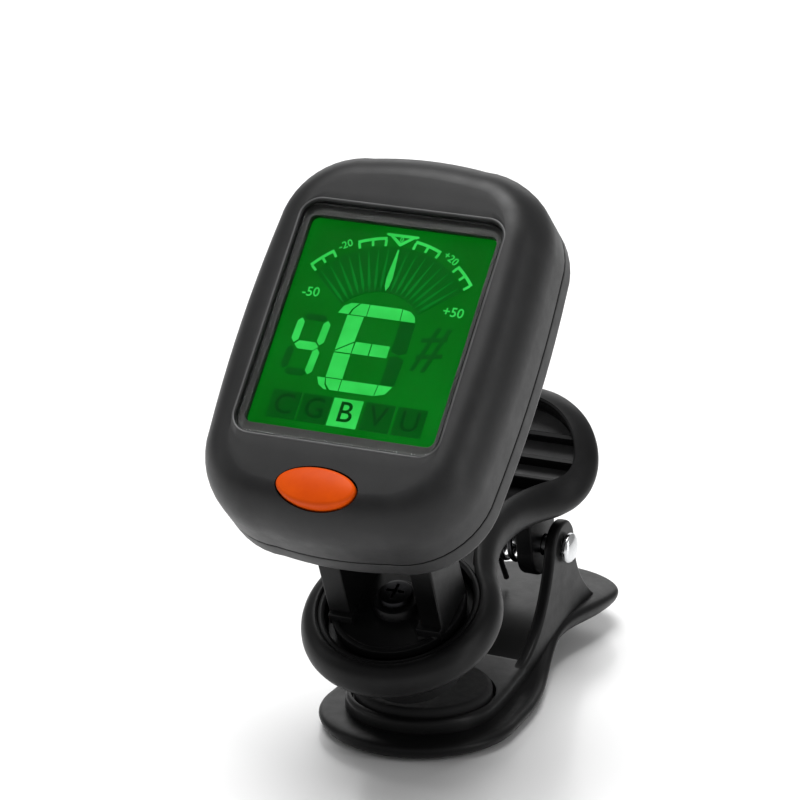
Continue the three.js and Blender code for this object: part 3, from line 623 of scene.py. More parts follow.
def make_front_shell():
    low = FRONT_PARTING
    rings = face_rings((WALL, low), (0.25, low), (0.07, low + 0.06), (0, low + 0.25), (0, -7))
    steps = 12
    for step in range(steps + 1):
        angle = pi / 2 * step / steps
        inset = SHOULDER_WIDTH * (1 - cos(angle))
        rings += face_rings((inset, CROWN - SHOULDER_DEPTH * (1 - sin(angle))))
    shoulder_top = rings[-1]
    window_step = opening_rings(
        WINDOW, (0.45, CROWN), (0.2, CROWN - 0.07), (0.05, CROWN - 0.22), (0, CROWN - 0.45), (0, LENS_SEAT),
    )
    for share in (0.35, 0.7):
        rings.append(between(shoulder_top, window_step[0], share, CROWN))
    rings += window_step
    rings += opening_rings(SCREEN, (0.1, LENS_SEAT), (0, LENS_SEAT - 0.1), (0, 0))
    rings += face_rings((WALL + 3.4, 0))
    steps = 5
    for step in range(1, steps + 1):
        angle = pi / 2 * (1 - step / steps)
        rings += face_rings((WALL + 3.2 * (1 - cos(angle)), -5.2 * (1 - sin(angle))))
    shell = loft("head_front_shell", rings, HEAD, around=True)
    around_button = ellipse(BUTTON_HALF_WIDTH + 0.28, BUTTON_HALF_HEIGHT + 0.28, BUTTON_Y)
    cut(shell, prism("button_hole", around_button, -2, 4, HEAD))
    finish_piece(shell, "head", "case_black", "front_shell", sharp=28)


def make_window_parts():
    plate = opening_rings(WINDOW, (-0.45, 1.0), (-0.3, 1.12), (-0.3, 1.6), (-0.4, 1.7))
    lens = loft("window_cover", plate, HEAD)
    finish_piece(lens, "head", "window_clear", "window_lens")
    band = opening_rings(WINDOW, (-0.05, 0.74), (-0.05, 0.86))
    band += opening_rings(SCREEN, (0.06, 0.86), (0.06, 0.74))
    mask = loft("window_mask", band, HEAD, around=True)
    finish_piece(mask, "head", "case_black", look="mask_black")
    # A thin grey ring round the window's edge: a painted highlight on the rim, not a separate part of the
    # case.
    edge = opening_rings(
        WINDOW, (0.42, CROWN + 0.01), (0.30, CROWN + 0.05), (0.16, CROWN - 0.01), (0.3, CROWN - 0.12),
    )
    rim_highlight = loft("window_rim_painted_highlight", edge, HEAD, around=True)
    finish_piece(rim_highlight, "head", "case_black", look="rim_light", sharp=80)


def button_ring(half_width, half_height, z):
    return [(x, y, z) for x, y in ellipse(half_width, half_height, BUTTON_Y)]


def make_button():
    """The oval cap with its rounded edge, on a wider collar that keeps it in the case."""
    width, height, top, edge = BUTTON_HALF_WIDTH, BUTTON_HALF_HEIGHT, BUTTON_TOP, BUTTON_EDGE
    collar, collar_top = (6.9, 2.2), -0.95
    rings = [button_ring(*collar, -1.9), button_ring(*collar, collar_top)]
    rings += [button_ring(width, height, collar_top), button_ring(width, height, top)]
    for angle in (30, 60, 90):
        a = radians(angle)
        shrink = edge * (1 - cos(a))
        rings.append(button_ring(width - shrink, height - shrink, top + edge * sin(a)))
    for share, rise in ((0.66, 0.16), (0.4, 0.22), (0.15, 0.25)):
        rings.append(button_ring((width - edge) * share, (height - edge) * share, top + edge + rise))
    cap = loft("button_cap", rings, HEAD)
    finish_piece(cap, "button", "button_orange", "power_button", sharp=40)


SCREW_SPOTS = [(-13, 19.1), (13, 19.1), (-13, -20.8), (13, -20.8)]
DOOR_HALF = 9.7
DOOR_LIP_HALF = 10.8
DOOR_BOTTOM = -4.3
DOOR_STEP = -12.05
# Beyond the upper edge of the case
PAST_TOP = 40


def case_back_body(name, inner_z, tray=False):
    """The rear of the case as one solid with a rounded rim, hollowed to the floor if it is a tray."""
    edge = 1.3
    places = [(WALL + 0.6, BACK_FLOOR), (WALL, BACK_FLOOR + 0.6)] if tray else []
    places += [(WALL, inner_z), (0.25, inner_z), (0.07, inner_z - 0.06), (0, inner_z - 0.25)]
    for angle in (0, 18, 36, 54, 72, 90):
        a = radians(angle)
        places.append((edge * (1 - cos(a)), CASE_BACK + edge * (1 - sin(a))))
    return loft(name, face_rings(*places), HEAD)


def box_outline(x0, x1, y0, y1):
    return [(x0, y0), (x1, y0), (x1, y1), (x0, y1)]


def seam_tongue():
    """A ridge on the back shell that closes the seam from inside."""
    outer, near, far = WALL - 0.4, WALL + 0.12, WALL + 0.55
    foot, step, top = BACK_PARTING - 0.9, BACK_PARTING - 0.2, FRONT_PARTING + 0.7
    rings = face_rings((outer, foot), (outer, step), (near, step), (near, top), (far, top), (far, foot))
    return loft("tongue", rings, HEAD, around=True)


def make_back_shell():
    shell = case_back_body("head_back_shell", BACK_PARTING, tray=True)
    join(shell, seam_tongue())
    rail_outline = box_outline(-12.8, 12.8, DOOR_BOTTOM - 2, 19.5)
    rail = prism("rail", rail_outline, BACK_FLOOR - 0.4, -10.1, HEAD, soften=0.2)
    y, z = HINGE_IN_HEAD.y, HINGE_IN_HEAD.z
    barrel_radius, barrel_half = 3.5, 4.8
    web_side = [(y - 5.4, CASE_BACK + 0.6), (y + 5.4, CASE_BACK + 0.6), (y + 4.2, CASE_BACK - 0.5)]
    web_side += [(y + 3.45, z), (y - 3.45, z), (y - 4.2, CASE_BACK - 0.5)]
    web = prism("web", web_side, -barrel_half, barrel_half, HEAD, along="x", soften=0.25)
    axle = cross_rod_place(y, z, HEAD)
    barrel = disc("barrel", barrel_radius, -barrel_half, barrel_half, axle, 64, soften=0.25)
    bore = disc("bore", HINGE_BORE, -6, 6, axle, 32)
    outer_slot = prism(
        "outer_slot", box_outline(-DOOR_HALF - GAP, DOOR_HALF + GAP, DOOR_BOTTOM - GAP, PAST_TOP),
        CASE_BACK - 1, DOOR_STEP - GAP + 0.01, HEAD,
    )
    inner_slot = prism(
        "inner_slot", box_outline(-DOOR_LIP_HALF - GAP, DOOR_LIP_HALF + GAP, DOOR_BOTTOM - GAP, PAST_TOP),
        DOOR_STEP - GAP, BACK_FLOOR + GAP, HEAD,
    )
    cell_window = prism("cell_window", box_outline(-10.5, 10.5, -3.6, 18.3), BACK_FLOOR - 0.85, -9.5, HEAD)
    join(shell, rail, web, barrel)
    cut(shell, bore, outer_slot, inner_slot, cell_window)
    for x, spot_y in SCREW_SPOTS:
        place = HEAD @ Matrix.Translation((x, spot_y, 0))
        cut(shell, disc("counterbore", 1.8, CASE_BACK - 1, -11.5, place, 40))
    finish_piece(shell, "head", "case_black", "back_shell", sharp=28)


def make_door():
    outer = box_outline(-DOOR_HALF, DOOR_HALF, DOOR_BOTTOM, PAST_TOP)
    inner = box_outline(-DOOR_LIP_HALF, DOOR_LIP_HALF, DOOR_BOTTOM, PAST_TOP)
    door = prism("battery_cover", outer, CASE_BACK - 1, DOOR_STEP + 0.1, HEAD)
    join(door, prism("lip", inner, DOOR_STEP, BACK_FLOOR, HEAD))
    common(door, case_back_body("limit", BACK_FLOOR + 2))
    for row in range(5):
        reach = 5.5 - 0.5 * row
        place = cross_rod_place(-1.6 + 1.35 * row, CASE_BACK - 0.12, HEAD)
        cut(door, disc("groove", 0.45, -reach, reach, place, 24))
    soften_edges(door, 0.12, sharper_than=60)
    finish_piece(door, "door", "case_black", "battery_door", sharp=28)


# ---- display graphics

INK_LOW = -0.26
INK_HIGH = -0.20
DIAL_CENTRE = (-0.2, -1.0)
DIAL_RADIUS = 15.0


def ink(name, outlines, look, level=0.0):
    """Thin raised shapes on the display, joined into one piece."""
    points = []
    faces = []
    for outline in outlines:
        first = len(points)
        count = len(outline)
        points += [(x, y, INK_LOW + level) for x, y in outline]
        points += [(x, y, INK_HIGH + level) for x, y in outline]
        faces.append(tuple(range(first, first + count)))
        faces.append(tuple(range(first + count, first + 2 * count)))
        for i in range(count):
            j = (i + 1) % count
            faces.append((first + i, first + j, first + count + j, first + count + i))
    finish_piece(new_object(name, points, faces, HEAD), "head", "screen_green", look=look)


def lettering(text, size, x, y, turn=0.0):
    """The mesh of a short generic label, centred on x and y in the head's frame."""
    curve = bpy.data.curves.new("label", "FONT")
    curve.body = text
    curve.size = size
    curve.align_x = "CENTER"
    curve.align_y = "CENTER"
    curve.extrude = (INK_HIGH - INK_LOW) / 2
    curve.offset = 0.006 * size
    curve.resolution_u = 4
    made = add_object("label", curve)
    mesh = evaluated_mesh(made)
    bpy.data.objects.remove(made)
    place = HEAD @ Matrix.Translation((x, y, (INK_LOW + INK_HIGH) / 2)) @ Matrix.Rotation(turn, 4, "Z")
    mesh.transform(Matrix.Scale(MM, 4) @ place)
    return mesh


def label_piece(name, labels, look):
    """One piece from several labels, each given as (text, size, x, y, turn)."""
    shape = bmesh.new()
    for label in labels:
        mesh = lettering(*label)
        shape.from_mesh(mesh)
        bpy.data.meshes.remove(mesh)
    bmesh.ops.remove_doubles(shape, verts=shape.verts, dist=TOUCHING)
    mesh = bpy.data.meshes.new(name)
    shape.to_mesh(mesh)
    shape.free()
    finish_piece(add_object(name, mesh), "head", "screen_green", look=look)


def dial_point(radius, degrees):
    """A point of the dial. Degrees count clockwise from straight up."""
    angle = radians(degrees)
    return (DIAL_CENTRE[0] + radius * sin(angle), DIAL_CENTRE[1] + radius * cos(angle))


def dial_band(start, end, inner, outer, steps):
    angles = [start + (end - start) * i / steps for i in range(steps + 1)]
    return [dial_point(outer, a) for a in angles] + [dial_point(inner, a) for a in reversed(angles)]


def bar_across(ax, ay, bx, by, half):
    """A segment of a digit: a bar with pointed ends."""
    start = Vector((ax, ay))
    end = Vector((bx, by))
    along = (end - start).normalized()
    side = Vector((-along.y, along.x)) * half
    tip = along * half
    corners = [start, start + tip + side, end - tip + side, end, end - tip - side, start + tip - side]
    return [(corner.x, corner.y) for corner in corners]


def symmetrical(half):
    """An outline from its half beside the dial's middle line, given as (distance, y) from top to bottom."""
    middle = DIAL_CENTRE[0]
    left = [(middle - x, y) for x, y in half]
    return left + [(middle + x, y) for x, y in reversed(half) if x]


def make_dial():
    lit = []
    for start, end in ((-50.5, -36.5), (-23.4, -8), (8, 23.4), (36.5, 50.5)):
        lit.append(dial_band(start, end, DIAL_RADIUS - 0.42, DIAL_RADIUS, 10))
    for mark in (-50.2, -43.5, -37, -23, -15.6, -8.3, 8.3, 15.6, 23, 37, 43.5, 50.2):
        depth = 0.95 if abs(mark) in (50.2, 8.3) else 0.8
        lit.append(dial_band(mark - 0.7, mark + 0.7, DIAL_RADIUS - 0.4 - depth, DIAL_RADIUS - 0.41, 1))
    top_bar = [(2.2, 14.45), (2.35, 14.25), (1.95, 14.05)]
    chevron = [(0, 13.25), (1.15, 14.06), (1.75, 14.06), (0.1, 12.75)]
    needle = [(0.1, 12.2), (0.32, 9.6), (0.42, 8.0), (0.3, 6.8), (0, 6.1)]
    lit += [symmetrical(half) for half in (top_bar, chevron, needle)]
    ink("dial_lit", lit, "segment_lit")
    ink("dial_fan", [dial_band(-51, 51, 6.9, 13.6, 24)], "dial_shade", level=-0.03)
    blade = [(13.2, 0.2), (9.6, 1.1), (8.2, 1.4), (7.1, 0.2)]
    faint = []
    step = 6.0
    for count in range(1, 9):
        for turn in (-count * step, count * step):
            left = [dial_point(radius, turn - half) for radius, half in blade]
            faint.append(left + [dial_point(radius, turn + half) for radius, half in reversed(blade)])
    ink("dial_unlit", faint, "segment_faint", level=-0.02)
    label_piece("dial_numbers", [
        ("-20", 1.5, -7.7, 11.95, radians(30)),
        ("+20", 1.5, 7.3, 11.9, radians(-30)),
        ("-50", 1.9, -10.4, 4.55, radians(3)),
        ("+50", 1.9, 9.9, 4.3, radians(-2)),
        ("0", 1.0, -0.2, 13.72),
    ], "segment_lit")


def make_note():
    """The note's letter: a lit E, with the two right-hand segments unlit."""
    ink("note_lit", [
        [(-5.7, 2.15), (-5.2, 3.2), (-4.3, 3.75), (-3.2, 3.85), (-4.0, 2.9), (-4.25, 2.15)],
        [(-3.95, 2.15), (-3.7, 2.9), (-2.9, 3.85), (-1.75, 3.85), (-1.75, 2.15)],
        [(-1.6, 2.15), (-1.6, 3.85), (2.9, 3.85), (3.0, 2.15)],
        [(3.15, 2.15), (3.05, 3.82), (4.2, 3.6), (4.9, 3.0), (5.2, 2.15)],
        [(-4.3, 2.0), (-4.5, -3.1), (-2.2, -1.6), (-2.0, 2.0)],
        [(-4.5, -3.35), (-2.2, -1.85), (-2.2, -3.35)],
        [(-1.95, -1.65), (0.2, -1.65), (0.2, -3.35), (-2.05, -3.35)],
        [(0.4, -1.65), (2.85, -1.65), (2.85, -3.35), (0.4, -3.35)],
        [(-4.5, -3.55), (-4.55, -7.1), (-2.2, -7.1), (-2.2, -3.55)],
        [(-5.7, -7.25), (-5.2, -8.3), (-4.3, -8.85), (-3.9, -8.85), (-4.4, -8.2), (-4.6, -7.25)],
        [(-4.45, -7.25), (-4.2, -8.1), (-3.5, -8.85), (-2.3, -8.85), (-2.3, -7.25)],
        [(-2.15, -7.25), (-2.15, -8.85), (2.7, -8.85), (2.85, -7.25)],
        [(3.0, -7.25), (2.85, -8.8), (4.2, -8.4), (4.9, -7.25)],
    ], "segment_lit")
    ink("note_unlit", [
        [(3.2, 2.0), (5.3, 2.0), (5.35, -2.3), (4.3, -2.75), (3.2, -2.3)],
        [(3.2, -3.1), (4.3, -2.9), (5.3, -3.3), (5.1, -7.1), (3.15, -7.1)],
    ], "segment_dark")


def make_digit():
    """The string's number on the left, and the unlit sharp sign on the right."""
    ink("string_digit_lit", [
        bar_across(-10.35, 0.75, -10.5, -2.85, 0.5), bar_across(-6.65, 0.75, -6.85, -2.85, 0.5),
        bar_across(-10.3, -3.1, -6.9, -3.1, 0.58), bar_across(-6.95, -3.35, -7.2, -7.15, 0.5),
    ], "segment_lit")
    ink("string_digit_unlit", [
        bar_across(-10.1, 1.0, -6.9, 1.0, 0.45), bar_across(-10.55, -3.35, -10.8, -6.75, 0.5),
        bar_across(-10.5, -7.0, -7.4, -7.0, 0.5),
    ], "segment_dark")
    uprights = [[(7.2 + x, -4.6), (7.8 + x, -4.6), (9.8 + x, 1.9), (9.2 + x, 1.9)] for x in (-0.75, 0.75)]
    bars = [[(6.8, y - 0.3), (10.3, y + 0.25), (10.3, y + 0.85), (6.8, y + 0.3)] for y in (-2.6, -0.2)]
    ink("sharp_sign_upright", uprights, "segment_dark")
    ink("sharp_sign_bars", bars, "segment_dark", level=0.02)


MODES = {"C": -9.0, "G": -4.65, "B": -0.35, "V": 4.2, "U": 8.7}
LIT_MODE = "B"


def make_mode_row():
    """A row of boxes with a letter each. The mode in use is lit."""
    low, high, half = -13.8, -9.8, 2.05
    boxes = {text: box_outline(x - half, x + half, low, high) for text, x in MODES.items()}
    lit = boxes.pop(LIT_MODE)
    ink("mode_boxes", boxes.values(), "segment_dark", level=-0.03)
    ink("mode_box_lit", [lit], "segment_lit", level=-0.03)
    middle = (low + high) / 2
    label_piece("mode_letters", [(text, 4.1, x, middle) for text, x in MODES.items()], "screen_dim")


# ---- neck

TABLE_RADIUS = 9.2
HINGE_HEIGHT = 18.0
EAR_INNER = 5.1
EAR_OUTER = 8.4


def make_neck():
    """The turntable with its two ears, and a small toe in front of each."""
    rim = TABLE_RADIUS
    profile = [(0, -1.6), (rim - 0.3, -1.6), (rim, -1.3), (rim, -0.25), (rim - 0.08, -0.08), (rim - 0.3, 0.0)]
    profile += [(rim - 0.75, -0.02), (rim - 0.95, -0.22), (rim - 1.15, -0.3), (3.7, -0.3), (3.45, -0.2)]
    profile += [(3.3, 0.7), (3.1, 0.95), (2.9, 1.0), (0, 1.0)]
    table = lathe("turntable_and_ears", profile, SWIVEL, 128)
    side_view = [(-4.2, -0.9), (7.2, -0.9), (6.6, 1.6), (3.5, HINGE_HEIGHT - 8)]
    side_view += arc(0, HINGE_HEIGHT, 3.5, 0, 180, 24)
    for side in (-1, 1):
        low, high = sorted((side * EAR_INNER, side * EAR_OUTER))
        ear = prism("ear", side_view, low, high, SWIVEL, along="x", soften=0.3)
        common(ear, disc("limit", rim, -1.0, HINGE_HEIGHT + 6, SWIVEL, 128))
        toe_shape = box_outline(side * 6.4 - 1.8, side * 6.4 + 1.8, -5.0, -3.0)
        toe = prism("toe", toe_shape, -0.9, 1.0, SWIVEL, soften=0.25)
        join(table, ear, toe)
    axle = cross_rod_place(0, HINGE_HEIGHT, SWIVEL)
    pocket_radius, pocket_depth = 2.5, 1.4
    cut(table, disc("bore", HINGE_BORE, -12, 12, axle, 32))
    cut(table, disc("head_pocket", pocket_radius, EAR_OUTER - pocket_depth, 12, axle, 40))
    cut(table, disc("nut_pocket", pocket_radius, -12, -EAR_OUTER + pocket_depth, axle, 6))
    cut(table, disc("screw_hole", 1.6, -3, 3, SWIVEL, 32))
    finish_piece(table, "neck", "jaw_black", "turntable")


def cross_slot(screw, reach, half, low, high, place):
    """Cuts the two slots of a cross-head screw."""
    cut(screw, prism("slot", box_outline(-reach, reach, -half, half), low, high, place))
    cut(screw, prism("slot", box_outline(-half, half, -reach, reach), low, high, place))


def make_swivel_screw():
    profile = [(0, -5.2), (0.8, -5.2), (1.2, -4.8), (1.2, 1.3), (2.4, 1.3), (2.4, 1.6)]
    profile += [(2.2, 1.95), (1.7, 2.15), (0, 2.2)]
    screw = lathe("swivel_screw_turned", profile, SWIVEL, 48)
    cross_slot(screw, 1.3, 0.22, 1.7, 3, SWIVEL)
    finish_piece(screw, "upper_lever", "steel", "swivel_screw", look="dark_steel")


def make_case_screws():
    top, under_head = CASE_BACK + 0.15, -11.8
    profile = [(0, top), (1.1, top + 0.02), (1.4, top + 0.18), (1.5, top + 0.4), (1.5, under_head)]
    profile += [(0.75, under_head), (0.75, -4.0), (0.3, -3.6), (0, -3.6)]
    for number, (x, y) in enumerate(SCREW_SPOTS, 1):
        place = HEAD @ Matrix.Translation((x, y, 0))
        screw = lathe(f"case_screw_turned_{number}", profile, place, 40)
        cross_slot(screw, 0.85, 0.17, CASE_BACK - 1, -12.3, place)
        finish_piece(screw, "head", "steel", f"case_screw_{number}")


def make_hinge_screw():
    place = cross_rod_place(0, HINGE_HEIGHT, SWIVEL)
    end, outside = -EAR_OUTER + 0.3, EAR_OUTER
    profile = [(0, end), (0.9, end), (1.1, -EAR_OUTER + 0.5), (1.1, outside - 1.1), (2.15, outside - 1.1)]
    profile += [(2.15, outside - 0.45), (1.9, outside - 0.15), (0, outside - 0.1)]
    axle = lathe("hinge_screw_turned", profile, place, 48)
    cross_slot(axle, 1.2, 0.22, outside - 0.6, outside + 1, place)
    finish_piece(axle, "neck", "steel", "hinge_screw")


# ---- upper jaw

FRONT_RING = 13.8
FRONT_HALF_DEPTH = 2.8
WAIST_HALF = 7.75
WAIST_MIDDLE_Z = 24.7
FINGER_RING = 12.4
FRONT_BEND_RADIUS = 22.0
TAIL_BEND_RADIUS = 11.0

front_middle = joint_point("swivel") - table_up * FRONT_HALF_DEPTH
front_rise = FRONT_BEND_RADIUS * (1 - cos(SWIVEL_TILT))
front_run = (WAIST_MIDDLE_Z - front_rise - front_middle.z) / sin(SWIVEL_TILT)
front_bend_y = front_middle.y + front_run * cos(SWIVEL_TILT)
front_bend_length = FRONT_BEND_RADIUS * SWIVEL_TILT
waist_start_y = front_bend_y + FRONT_BEND_RADIUS * sin(SWIVEL_TILT)
tail_rise = TAIL_BEND_RADIUS * (1 - cos(FINGER_TILT))
tail_end_y = FINGER_CENTRE.y + (WAIST_MIDDLE_Z + tail_rise - FINGER_CENTRE.z) / tan(FINGER_TILT)
tail_end_z = WAIST_MIDDLE_Z + tail_rise
tail_start_y = tail_end_y - TAIL_BEND_RADIUS * sin(FINGER_TILT)
waist_start = front_run + front_bend_length
tail_start = waist_start + tail_start_y - waist_start_y
tail_end = tail_start + TAIL_BEND_RADIUS * FINGER_TILT
finger_middle = tail_end + (FINGER_CENTRE.y - tail_end_y) / cos(FINGER_TILT)


def lever_line(s):
    """Side view of the lever's middle line at distance s: y, z and slope."""
    if s < front_run:
        slope = SWIVEL_TILT
        return front_middle.y + s * cos(slope), front_middle.z + s * sin(slope), slope
    if s < waist_start:
        slope = SWIVEL_TILT - (s - front_run) / FRONT_BEND_RADIUS
        y = front_bend_y + FRONT_BEND_RADIUS * (sin(SWIVEL_TILT) - sin(slope))
        return y, WAIST_MIDDLE_Z - FRONT_BEND_RADIUS * (1 - cos(slope)), slope
    if s < tail_start:
        return waist_start_y + s - waist_start, WAIST_MIDDLE_Z, 0.0
    if s < tail_end:
        slope = (s - tail_start) / TAIL_BEND_RADIUS
        y = tail_start_y + TAIL_BEND_RADIUS * sin(slope)
        return y, WAIST_MIDDLE_Z + TAIL_BEND_RADIUS * (1 - cos(slope)), slope
    slope = FINGER_TILT
    further = s - tail_end
    return tail_end_y + further * cos(slope), tail_end_z + further * sin(slope), slope


def on_lever(x, s, height):
    y, z, slope = lever_line(s)
    return (x, y - height * sin(slope), z + height * cos(slope))


def lever_outline():
    """Right-hand side of the lever, from its front tip to its tail tip."""
    points = [(0.0, -FRONT_RING)] + arc(0, 0, FRONT_RING, -87, 34, 44)
    shoulder = points[-1]
    waist = (WAIST_HALF, 24.0)
    lean = radians(34)
    points += bezier(
        shoulder, (shoulder[0] - 4.5 * sin(lean), shoulder[1] + 4.5 * cos(lean)),
        (WAIST_HALF, waist[1] - 7.5), waist, 20,
    )
    hip_angle = radians(-22)
    hip = (FINGER_RING * cos(hip_angle), finger_middle + FINGER_RING * sin(hip_angle))
    points += bezier(
        waist, (WAIST_HALF, waist[1] + 5.5),
        (hip[0] + 3.4 * sin(hip_angle), hip[1] - 3.4 * cos(hip_angle)), hip, 20,
    )
    points += arc(0, finger_middle, FINGER_RING, -19, 87, 38)
    points.append((0.0, finger_middle + FINGER_RING))
    return points


def ease(value, low, high):
    share = min(max((value - low) / (high - low), 0.0), 1.0)
    return share * share * (3 - 2 * share)


def rim_top(s):
    return FRONT_HALF_DEPTH + (3.0 - FRONT_HALF_DEPTH) * ease(s, 24, 38)


def rim_height(s, angle):
    """The rim rises like a quarter circle at the front, and more like a cone round the finger ring."""
    cone = 0.6 * ease(s, 26, 36)
    rise = (1 - cone) * sin(angle) + cone * (1 - cos(angle)) ** 0.8
    return -0.3 + (rim_top(s) + 0.3) * rise


def floor_height(s):
    """Height of the channel between the rims: shallow by the turntable, deep in the finger ring."""
    return 1.5 - 0.5 * ease(s, 12, 22) - 1.8 * ease(s, 26, 37)


def make_upper_jaw():
    """The lever with its boss and lugs, the seat of the turntable and the three ribs of the finger ring."""
    rim = 2.35
    section = [(3.4, -2.55), (rim + 0.3, -2.6)]
    for angle in (75, 60, 45, 30, 15, 0):
        a = radians(angle)
        section.append((rim * (1 - cos(a)), -0.3 - 2.25 * sin(a)))
    for angle in (12, 24, 36, 48, 60, 72, 82, 90):
        a = radians(angle)
        section.append((rim * (1 - cos(a)), lambda s, a=a: rim_height(s, a)))
    for inset, drop in ((0.18, 0.05), (0.36, 0.24), (0.46, 0.55)):
        section.append((rim + inset, lambda s, drop=drop: rim_top(s) - drop))
    section.append((rim + 0.52, lambda s: floor_height(s) + 0.2))
    section.append((rim + 0.7, floor_height))
    lever = plank("clamp_upper_lever", lever_outline(), section, on_lever, columns=10)

    boss = disc("boss", 6.4, -9.6, -4.8, SWIVEL, 64, soften=0.3)
    lug_side = arc(pivot.y, pivot.z, 4.4, 180, 360, 32)
    lug_side += [(pivot.y + 3.2, 23.6), (pivot.y - 5.8, 23.6)]
    lugs = [prism("lug", lug_side, low, low + 2.5, along="x", soften=0.35) for low in (-6.5, 4.0)]
    join(lever, boss, *lugs)

    lip = [(9.9, -3), (11.9, -3), (11.9, -1.0), (11.25, -0.95), (11.15, -0.5), (11.0, -0.3), (10.75, -0.22)]
    lip += [(10.45, -0.28), (10.2, -0.5), (9.9, -0.5)]
    join(lever, ring_of("lip", lip, SWIVEL))
    seat = lathe("seat", [(0, -2.7), (10.0, -2.7), (10.2, -2.5), (10.2, 6), (0, 6)], SWIVEL, 128)
    screw_hole = disc("screw_hole", 1.5, -6.5, 0, SWIVEL, 32)
    pin_bore = disc("pin_bore", PIN_BORE, -8, 8, PIVOT_PLACE, 40)
    cut(lever, seat, screw_hole, pin_bore)
    for along in (-2.75, 1.3, 5.05):
        join(lever, finger_rib(along))
    finish_piece(lever, "upper_lever", "jaw_black", "upper_jaw")
    roughen_grip_paint_light(lever)


def finger_rib(along):
    """A rib across the finger ring, at a distance from the ring's middle."""
    reach = sqrt(9.5 ** 2 - along ** 2) + 0.2
    shape = [(-0.4, -1.2), (0.4, -1.2), (0.4, 1.15), (0.28, 1.3), (-0.28, 1.3), (-0.4, 1.15)]
    middle = finger_middle + along
    ends = [[on_lever(x, middle + offset, height) for offset, height in shape] for x in (-reach, reach)]
    return loft("rib", ends)


def roughen_grip_paint_light(lever):
    """The floor between the finger ribs has a coarser moulded finish, and a lighter colour that is painted
    light: it stands for the light that the up-facing floor catches.
    """
    lever.data.materials.append(looks["grip_black"])
    to_finger = FINGER.inverted()
    for face in lever.data.polygons:
        centre = to_finger @ (face.center / MM)
        upright = (to_finger.to_3x3() @ face.normal).z
        # Up-facing floor faces get the lighter look: painted light on the finger-ring floor.
        if upright > 0.9 and centre.z < 0.2 and centre.xy.length < 9.9:
            face.material_index = 1


def make_lower_pad():
    bottom, top, radius, edge = 3.7, 5.6, 9.5, 0.75
    profile = [(0, bottom), (radius - 0.15, bottom), (radius, bottom + 0.15), (radius, top - edge)]
    for a in (pi / 8, pi / 4, 3 * pi / 8):
        profile.append((radius - edge * (1 - cos(a)), top - edge * (1 - sin(a))))
    profile += [(radius - edge, top), (0, top + 0.04)]
    pad = lathe("grip_pad_lower", profile, Matrix.Translation((0, PAD_Y, 0)))
    finish_piece(pad, "clamp_base", "pad_rubber", "lower_pad")


def make_upper_pad():
    """A pad with two ring grooves in its face and a thin skirt round the boss."""
    face = -12.5
    profile = [(0, face)]
    for groove in (2.6, 4.6):
        profile += [(groove - 0.35, face), (groove - 0.15, face + 0.14)]
        profile += [(groove + 0.15, face + 0.14), (groove + 0.35, face)]
    profile += [(6.8, face), (7.22, face + 0.18), (7.4, face + 0.6), (7.4, -8.4), (7.2, -8.2)]
    profile += [(6.9, -8.2), (6.7, -8.4), (6.7, -9.9), (0, -9.9)]
    pad = lathe("grip_pad_upper", profile, SWIVEL)
    finish_piece(pad, "upper_lever", "pad_rubber", "upper_pad")


# ---- lower jaw

WALL_INNER = 7.9
WALL_OUTER = 9.6


def height_on_curve(y, curve):
    """Height of a side-view cubic at y, found by halving."""
    low, high = 0.0, 1.0
    for _ in range(30):
        t = (low + high) / 2
        low, high = (t, high) if cubic_point(curve, t)[0] < y else (low, t)
    return cubic_point(curve, t)[1]


def base_bottom(y):
    if y <= 21:
        return 0.0
    if y <= 37:
        return height_on_curve(y, ((21, 0), (28, 0), (30, 3.2), (37, 3.4)))
    return height_on_curve(y, ((37, 3.4), (43, 3.5), (50, 2.4), (61, 4.0)))


def base_top(y):
    if y <= 20:
        return 2.4
    if y <= 38:
        return height_on_curve(y, ((20, 2.4), (28, 2.4), (31, 6.2), (38, 6.4)))
    return height_on_curve(y, ((38, 6.4), (46, 6.6), (52, 5.4), (61, 5.2)))


def on_base(x, y, height):
    low, high = base_bottom(y), base_top(y)
    return (x, y, (low + high) / 2 + height * (high - low) / 2)


def base_outline():
    front = 14.0
    front_y = 7.7
    neck = (10.1, 33.0)
    tab = (12.0, 50.0)
    tab_length = 9.0
    points = [(0.0, front_y - front)] + arc(0, front_y, front, -87, 0, 34)
    points += [(front - 0.2, 14.0)]
    points += bezier((front - 0.2, 14.0), (front - 0.6, 21), (neck[0] + 0.8, 26), neck, 20)
    points += bezier(neck, (neck[0] - 0.2, 40), (tab[0], 43), tab, 20)
    for step in range(1, 31):
        angle = radians(3 * step)
        points.append((tab[0] * cos(angle), tab[1] + tab_length * sin(angle)))
    points[-1] = (0.0, points[-1][1])
    return points


def platform_outline():
    radius = 10.7
    points = [(0.0, PAD_Y - radius)] + arc(0, PAD_Y, radius, -87, 0, 32)
    points += bezier((radius, PAD_Y), (radius, 14), (WALL_OUTER + 0.3, 18), (WALL_OUTER, 24), 14)
    points += [(5.0, 24.4), (0.0, 24.4)]
    return points


